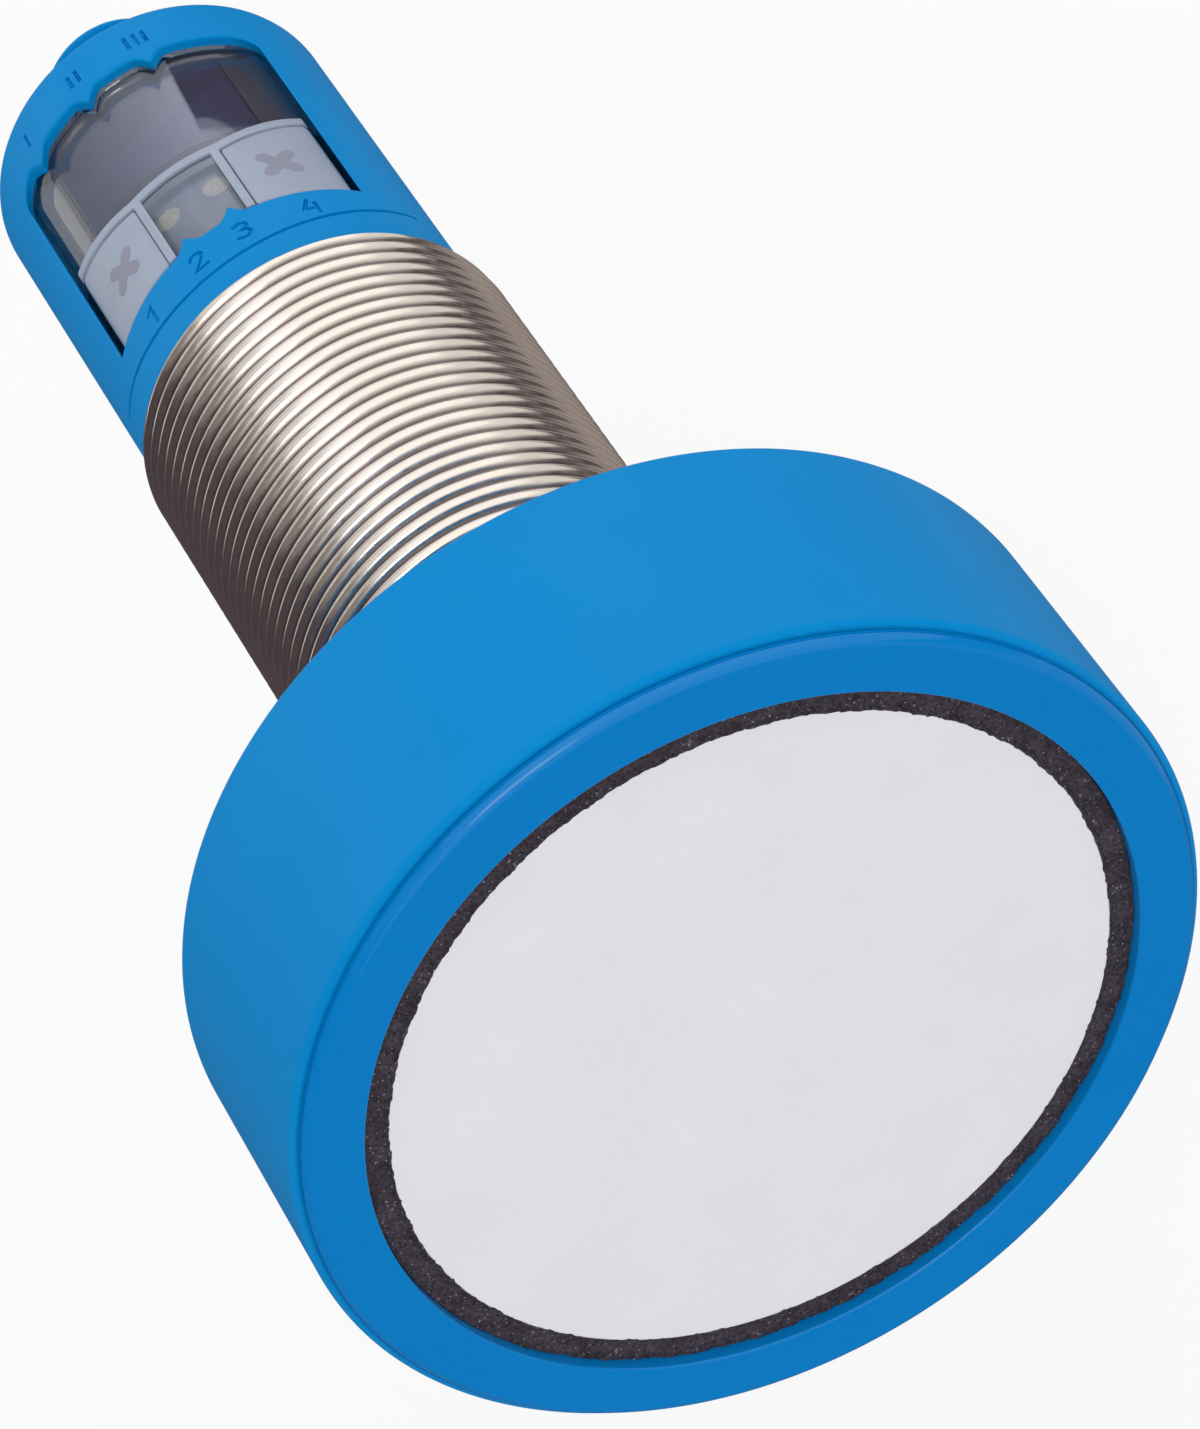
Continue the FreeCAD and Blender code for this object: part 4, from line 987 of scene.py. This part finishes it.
SPOT_R, SPOT_RIM = 1.0, 0.02
ETCH_OUT, ETCH_IN, ETCH_REACH = PANE_IN - 0.01, PANE_IN - 0.08, WINDOW_HALF - 0.4
ETCH_FRONT = WINDOW_FRONT - 0.1
etch_line = divided([
    (-ETCH_REACH, ETCH_FRONT), (ETCH_REACH, ETCH_FRONT), (ETCH_REACH, HOLE_FRONT), (HOLE_IN, HOLE_FRONT),
    (HOLE_IN, RAIL_REAR), (-HOLE_IN, RAIL_REAR), (-HOLE_IN, HOLE_FRONT), (-ETCH_REACH, HOLE_FRONT),
], step=0.5)
spots = [np.array([(x + SPOT_R * math.cos(a), LED_Y + SPOT_R * math.sin(a)) for a in CIRCLE])
         for x in (-LED_X, LED_X)]
etch = Shell()
upper, lower = (
    add_sheet(etch, radius, rolled_out(etch_line, radius), [rolled_out(spot, radius) for spot in spots],
              UPPER_GRID)
    for radius in (ETCH_OUT, ETCH_IN))
for above, below in zip(upper, lower):
    etch.wall(above, below)
make_piece("etched_field", etch, shaded_etched_polycarbonate, "sensor")
for spot, word in zip(spots, ("left", "right")):
    disc = Shell()
    add_plate(disc, spot, ETCH_OUT, ETCH_IN, SPOT_RIM)
    make_piece(f"light_spot_{word}", disc, milky_epoxy, "sensor")

# %% [markdown]
# Keys
#
# Each key is a curved cap with rounded edges, a foot that keeps it under the pane and a stem down to its
# switch. A plain diagonal cross is printed on it. That could be a pattern in the material, but a thin sheet
# of ink has a sharp edge from near by too. Key and cross ride on a body of their own, because the key can
# be pressed.

# %% Keys with their crosses
KEY_R, KEY_EASE, KEY_CORNER, KEY_RIM, FOOT_RIM = PANE_R + 0.15, 0.03, 0.35, 0.3, 0.08
KEY_INSIDE = PANE_IN - 0.65
FOOT_OUT, FOOT_REACH = PANE_IN - 0.15, 8.65
FOOT_REAR = RAIL_FRONT - KEY_GAP + FOOT_LAP
STEM_R, STEM_END, STEM_SINK, STEM_BEVEL = 1.2, KEY_LOW.z, 0.3, 0.2
CROSS_ARM, CROSS_HALF, CROSS_LIFT, CROSS_GRID, CROSS_POINTS = 1.95, 0.55, 0.015, (0.3, 0.3), 9
KEY_Y = (HOLE_FRONT + RAIL_FRONT + KEY_SLANT / 2) / 2


def cross_outline(middle):
    """A diagonal cross on an unrolled key, anticlockwise, with round ends."""
    points = []
    for arm in range(4):
        turn = Matrix.Rotation(math.pi / 4 + arm * math.pi / 2, 2)
        end = [Vector((CROSS_ARM - CROSS_HALF + CROSS_HALF * math.cos(a), CROSS_HALF * math.sin(a)))
               for a in np.linspace(-math.pi / 2, math.pi / 2, CROSS_POINTS)]
        points += [turn @ p for p in end]
        points.append(turn @ Vector((CROSS_HALF, CROSS_HALF)))
    return np.array([tuple(p) for p in points]) + np.array(middle)


foot_line = divided([(KEY_LOW.x, KEY_LOW.y), (FOOT_REACH, KEY_LOW.y), (FOOT_REACH, FOOT_REAR),
                     (KEY_LOW.x, FOOT_REAR)], step=0.45)
for side, word in ((-1, "left"), (1, "right")):
    key = Shell()
    add_plate(key, on_side(key_field(KEY_EASE, KEY_CORNER), side), KEY_R, KEY_INSIDE, KEY_RIM)
    add_plate(key, on_side(foot_line, side), FOOT_OUT, KEY_INSIDE, FOOT_RIM)
    level = math.sqrt(KEY_INSIDE ** 2 - KEY_X ** 2) + STEM_SINK
    stem = [(STEM_R, level), (STEM_R, STEM_END + STEM_BEVEL), (STEM_R - STEM_BEVEL, STEM_END)]
    rings = [key.add([(side * KEY_X + r * math.sin(a), KEY_Y + r * math.cos(a), z) for a in CIRCLE])
             for r, z in stem]
    key.walls(rings)
    key.faces += [tuple(rings[0]), tuple(rings[-1])]
    body = f"button_{word}"
    make_piece(f"key_{word}", key, frosted_polycarbonate, body, [body])
    cross = Shell()
    line = cross_outline((KEY_R * math.asin(side * KEY_X / KEY_R), KEY_Y))
    upper, lower = (add_sheet(cross, radius, line * (radius / KEY_R, 1), [], CROSS_GRID)
                    for radius in (KEY_R + CROSS_LIFT, KEY_R - CROSS_LIFT))
    cross.wall(upper[0], lower[0])
    make_piece(f"key_cross_{word}", cross, key_ink, body)

# %% [markdown]
# Smoked filter
#
# A dyed acrylic sheet lies over the display and hides its segments while it is off. A flat sheet would do
# for the display, but this one follows the curve of the pane, with softened edges that catch a little
# light.

# %% Smoked filter
FILTER_LOW, FILTER_HIGH = node_box("display_filter")
FILTER_R, FILTER_THICK, FILTER_CORNER, FILTER_RIM = PANE_IN - FIT, 0.65, 0.3, 0.06
smoked = Shell()
filter_line = divided(rounded_corners([
    (FILTER_LOW.x, FILTER_LOW.y, FILTER_CORNER), (FILTER_HIGH.x, FILTER_LOW.y, FILTER_CORNER),
    (FILTER_HIGH.x, FILTER_HIGH.y, FILTER_CORNER), (FILTER_LOW.x, FILTER_HIGH.y, FILTER_CORNER),
], steps=4), step=0.5)
add_plate(smoked, filter_line, FILTER_R, FILTER_R - FILTER_THICK, FILTER_RIM)
make_piece("smoked_sheet", smoked, smoked_acrylic, "sensor", ["display_filter"])

# %% [markdown]
# Plug
#
# On the hidden end an M12 plug carries the supply and the output. It is moulded in the same blue, with a
# threaded shell, a socket with a polarising nose, and gold-plated pins. Its thread is made as the sleeve's
# is, and a profile with the flange and the groove for its seal closes it.

# %% Plug shell
PLUG_R, PLUG_NECK, PLUG_PITCH = 6.0, 6.9, 1.0
NECK_END, SOCKET_R = CAP_REAR + 1.5, 4.3
PLUG_SEGMENTS = 96
SEAL_IN, SEAL_OUT, SEAL_Y = 7.7, 8.7, CAP_INSIDE_Y - 0.95
NOSE_HALF, NOSE_LOW, NOSE_HIGH = 0.6, SOCKET_R - 0.7, 5.0
NOSE_START, NOSE_END = PLUG_REAR - 8.6, PLUG_REAR - 2.2
plug = Shell()
plug_root = add_thread(plug, PLUG_R, PLUG_PITCH, NECK_END, PLUG_REAR, chamfers=(0.4, 0.6),
                       segments=PLUG_SEGMENTS)
plug_profile = rounded_corners([
    (plug_root, PLUG_REAR, 0), (SOCKET_R, PLUG_REAR, 0.2), (SOCKET_R, FLANGE_FRONT, 0),
    (FLANGE_R, FLANGE_FRONT, 0.15), (FLANGE_R, CAP_INSIDE_Y, 0.15), (SEAL_OUT, CAP_INSIDE_Y, 0),
    (SEAL_OUT, SEAL_Y, 0), (SEAL_IN, SEAL_Y, 0), (SEAL_IN, CAP_INSIDE_Y, 0), (PLUG_NECK, CAP_INSIDE_Y, 0),
    (PLUG_NECK, NECK_END, 0.2), (plug_root, NECK_END, 0),
], steps=4)
plug.walls(plug.rings(plug_profile, PLUG_SEGMENTS))
nose = rounded_corners([(-NOSE_HALF, NOSE_LOW, 0.25), (NOSE_HALF, NOSE_LOW, 0.25),
                        (NOSE_HALF, NOSE_HIGH, 0), (-NOSE_HALF, NOSE_HIGH, 0)], steps=4)
nose_ends = [plug.add([(x, y, z) for x, z in nose]) for y in (NOSE_START, NOSE_END)]
plug.wall(*nose_ends)
plug.faces += [tuple(loop) for loop in nose_ends]
make_piece("plug_body", plug, satin_pbt, "sensor", ["plug_shell"], sharp=50)

# %% [markdown]
# What stays from the frame
#
# Pieces that are inside, or whose CAD shape is already right, stay as they are and get their real finishes:
# ferrite, circuit board, aluminium can, gold-plated pins, rubber seals and so on. Most are plastics or
# ceramics, for which the recipe of the moulded plastic does well with other numbers.

# %% Finish: circuit board, rubber and ceramics
def solder_mask(name):
    """Epoxy-glass board: solder mask over straight copper tracks 0.6 mm apart, which show as ridges."""
    finish, tree, place = start_finish(name)
    tracks = add_node(tree, "TexWave", {"Vector": place, "Scale": per(0.6 * 2 * math.pi), "Distortion": 0.4},
                      bands_direction="X")
    step = add_node(tree, "MapRange", {"Value": tracks.outputs["Fac"], "From Min": 0.45, "From Max": 0.6})
    colour = add_node(tree, "Mix", {0: step.outputs[0], 6: linear("#3d5157"), 7: linear("#4d646a")},
                      data_type="RGBA")
    bump = add_node(tree, "Bump", {"Height": step.outputs[0], "Distance": 0.03 * MM})
    shader = add_node(tree, "BsdfPrincipled", {
        "Base Color": colour.outputs[2], "Normal": bump.outputs[0], "Roughness": 0.35, "IOR": 1.55})
    add_node(tree, "OutputMaterial", {"Surface": shader.outputs[0]})
    return finish


# Epoxy-glass board under solder mask: dull blue green, half glossy, with faint ridges
board = solder_mask("solder_mask")
# Gold plate over turned brass: yellow and bright
gold = plated_metal("gold_plated_contacts", "#d9b25c", "#cda552", 0.2, 0.5)
# Aluminium, deep drawn: pale, with soft reflections
can = plated_metal("drawn_aluminium", "#c9cbcd", "#bfc1c4", 0.3, 0.4)
# Colour, drift, roughness, IOR, grain in mm and relief in mm, then the nodes
INNER = {
    # Ferrite, pressed and fired: nearly black, dull, a little grainy
    "pressed_ferrite": (("#3b3836", "#44413f", 0.55, 1.8, 0.2, 0.01), ["pulse_transformer"]),
    # Piezo ceramic, sintered and lapped: cream, matt as biscuit
    "sintered_ceramic": (("#c8b79a", "#d0c0a5", 0.6, 1.8, 0.1, 0.006), ["piezo_disc"]),
    # Damping rubber, cut: dark brown, dead matt, coarse
    "damping_rubber": (("#34302e", "#3d3836", 0.85, 1.5, 0.5, 0.03), ["damping_pad"]),
    # Nitrile rubber, moulded: black with a soft shine
    "nitrile_rubber": (("#1d1d1e", "#252526", 0.6, 1.5, 0.3, 0.004), ["head_seal", "cap_seal", "plug_seal"]),
    # Soft PVC, extruded on the wire: red and smooth
    "pvc_insulation": (("#9d2f2a", "#a8372f", 0.45, 1.53, 0.3, 0.003), ["signal_lead", "ground_lead"]),
    # Glass-filled polyamide, moulded: black, satin, finely grained
    "black_polyamide": (("#1f2022", "#28292b", 0.5, 1.53, 0.15, 0.004),
                        ["contact_carrier", "board_header", "controller_chip", "switch_left", "switch_right",
                         "plunger_left", "plunger_right"]),
    # Epoxy, cast over the display's segments: pale violet grey, half glossy
    "display_epoxy": (("#8f95a8", "#979db0", 0.4, 1.52, 0.3, 0.002), ["display_module"]),
    # Polyamide, moulded: slate grey, satin
    "grey_polyamide": (("#343848", "#3b3f4e", 0.5, 1.53, 0.3, 0.003), ["display_frame"]),
}
dressed = {}
for name, (recipe, nodes) in INNER.items():
    dressed.update(dict.fromkeys(nodes, moulded_plastic(name, *recipe)))
for number in range(1, 6):
    dressed[f"contact_pin_{number}"] = gold
dressed.update({"reservoir_capacitor": can, "main_board": board, "display_board": board,
                "status_led_1": milky_epoxy, "status_led_2": milky_epoxy})
for node, finish in dressed.items():
    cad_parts[node].material_slots[0].material = finish
print("CAD nodes that keep their shape:", len(dressed))

# %% [markdown]
# Floor
#
# The photograph is a plain studio shot on white. The floor is pale paper that keeps the soft shadow of the
# sensor. More lamps could make it white, but they would also bleach the sensor. Instead it glows a little
# where the camera, a reflection or a clear piece looks at it.

# %% Floor
FLOOR_Z, FLOOR_HALF, FLOOR_GLOW = -0.09, 3.0, 0.75


def seen_directly(tree):
    """A socket that is 1 where the camera, a reflection or a clear piece looks, and 0 for other light."""
    path = add_node(tree, "LightPath")
    direct = add_node(tree, "Math", {
        0: path.outputs["Is Camera Ray"], 1: path.outputs["Is Glossy Ray"]}, operation="MAXIMUM")
    through = add_node(tree, "Math", {
        0: direct.outputs[0], 1: path.outputs["Is Transmission Ray"]}, operation="MAXIMUM")
    return through.outputs[0]


def rectangle(first, third):
    """The corners of a level or an upright rectangle, from two that are opposite."""
    level = first[2] == third[2]
    second = (third[0], first[1] if level else third[1], first[2])
    fourth = (first[0], third[1] if level else first[1], third[2])
    return [first, second, third, fourth]


def studio_card(name, corners, finish):
    """A flat stage object from its corners in metres."""
    mesh = bpy.data.meshes.new(name)
    mesh.from_pydata(corners, [], [range(len(corners))])
    card = bpy.data.objects.new(name, mesh)
    bpy.context.scene.collection.objects.link(card)
    mesh.materials.append(finish)
    return card


paper, tree, _ = start_finish("white_paper_floor")
part = add_node(tree, "Math", {0: seen_directly(tree), 1: FLOOR_GLOW}, operation="MULTIPLY")
matt = add_node(tree, "BsdfDiffuse", {"Color": linear("#f4f4f4")})
glow = add_node(tree, "Emission", {"Color": linear("#ffffff"), "Strength": 1.0})
mixed = add_node(tree, "MixShader", {0: part.outputs[0], 1: matt.outputs[0], 2: glow.outputs[0]})
add_node(tree, "OutputMaterial", {"Surface": mixed.outputs[0]})
floor_corners = rectangle((-FLOOR_HALF, -FLOOR_HALF, FLOOR_Z), (FLOOR_HALF, FLOOR_HALF, FLOOR_Z))
studio_card("floor", floor_corners, paper)
print("floor at", FLOOR_Z)

# %% [markdown]
# Cards
#
# In a white room metal and gloss reflect nothing but white, and look flat. A photographer sets dark and
# grey cards round the object and a soft box behind it, so that its edges have something to reflect. Only
# reflections see these: they are not in the picture and take no light away.

# %% Cards and soft box
def matt_card(name, first, second, start, end):
    """Matt card that goes from one colour to another along X, from start to end in metres."""
    finish, tree, place = start_finish(name)
    along = add_node(tree, "SeparateXYZ", {0: place})
    part = add_node(tree, "MapRange", {"Value": along.outputs[0], "From Min": start, "From Max": end})
    tint = add_node(tree, "Mix", {0: part.outputs[0], 6: linear(first), 7: linear(second)}, data_type="RGBA")
    matt = add_node(tree, "BsdfDiffuse", {"Color": tint.outputs[2]})
    add_node(tree, "OutputMaterial", {"Surface": matt.outputs[0]})
    return finish


dark_card = matt_card("dark_card", "#574e55", "#5d555b", -0.5, 0.5)
grey_card = matt_card("grey_card", "#968e8c", "#b4acaa", -0.4, 0.3)
soft_box, tree, place = start_finish("soft_box")
along = add_node(tree, "SeparateXYZ", {0: place})
shine = add_node(tree, "MapRange", {
    "Value": along.outputs[0], "From Min": -0.45, "From Max": 0.2, "To Min": 0.3, "To Max": 1.5})
glow = add_node(tree, "Emission", {"Color": linear("#eef2ff"), "Strength": shine.outputs[0]})
add_node(tree, "OutputMaterial", {"Surface": glow.outputs[0]})
LOW, NEAR_Y = FLOOR_Z + 0.002, 0.152
CARDS = [
    ("card_floor", dark_card, rectangle((-0.7, -0.75, LOW), (0.1, 0.75, LOW))),
    ("card_floor_right", grey_card, rectangle((0.1, -0.75, LOW), (0.45, 0.75, LOW))),
    ("card_left", dark_card, rectangle((-0.35, 0.3, LOW), (-0.35, -0.6, 0.24))),
    ("card_left_high", grey_card, rectangle((-0.35, 0.3, 0.24), (-0.35, -0.6, 0.62))),
    ("card_back", soft_box, rectangle((-0.7, 0.6, 0.1), (0.5, 0.6, 0.65))),
    ("card_right", dark_card, rectangle((0.45, -0.6, LOW), (0.45, 0.5, 0.06))),
    ("card_near", dark_card, [(0.034, NEAR_Y, 0.06), (0.07, NEAR_Y, 0.038), (0.09, NEAR_Y, 0.026),
                              (0.09, NEAR_Y, -0.02), (0.034, NEAR_Y, -0.02)]),
]
for name, finish, corners in CARDS:
    card = studio_card(name, corners, finish)
    card.visible_camera = card.visible_diffuse = card.visible_shadow = False
print("cards that only reflections see:", len(CARDS))

# %% [markdown]
# World and lamps
#
# The white room fills the shadows; it gives less light than it shows, so that the lamps can shape the
# sensor. A very large soft lamp hangs above, a smaller one stands in front and a weak one behind. Small
# strong lamps would shape it too, but they burn white spots into the thread.

# %% World and lamps
ROOM_LIGHT, ROOM_SEEN = 0.64, 1.0
world = bpy.data.worlds.new("studio")
bpy.context.scene.world = world
world.use_nodes = True
tree = world.node_tree
tree.nodes.clear()
level = add_node(tree, "MapRange", {"Value": seen_directly(tree), "To Min": ROOM_LIGHT, "To Max": ROOM_SEEN})
sky = add_node(tree, "Background", {"Color": linear("#ffffff"), "Strength": level.outputs[0]})
add_node(tree, "OutputWorld", {"Surface": sky.outputs[0]})

AIM = Vector((0, 0.03, 0))
# Place and size in metres, power in watts
LAMPS = [
    ("soft_top", (0.4, 0.05, 0.9), (2.0, 1.4), 4.6),
    ("soft_front", (-0.12, -0.7, 0.62), (0.34, 0.34), 1.8),
    ("soft_back", (-0.42, 0.68, 0.35), (0.35, 0.35), 0.6),
]
for name, place, size, power in LAMPS:
    lamp = bpy.data.lights.new(name, "AREA")
    lamp.shape = "RECTANGLE"
    lamp.size, lamp.size_y = size
    lamp.energy = power
    holder = bpy.data.objects.new(name, lamp)
    bpy.context.scene.collection.objects.link(holder)
    holder.location = place
    holder.rotation_euler = (AIM - Vector(place)).to_track_quat("-Z", "Y").to_euler()
    print("lamp", name, "at", place)

bpy.context.scene.view_settings.view_transform = "Standard"
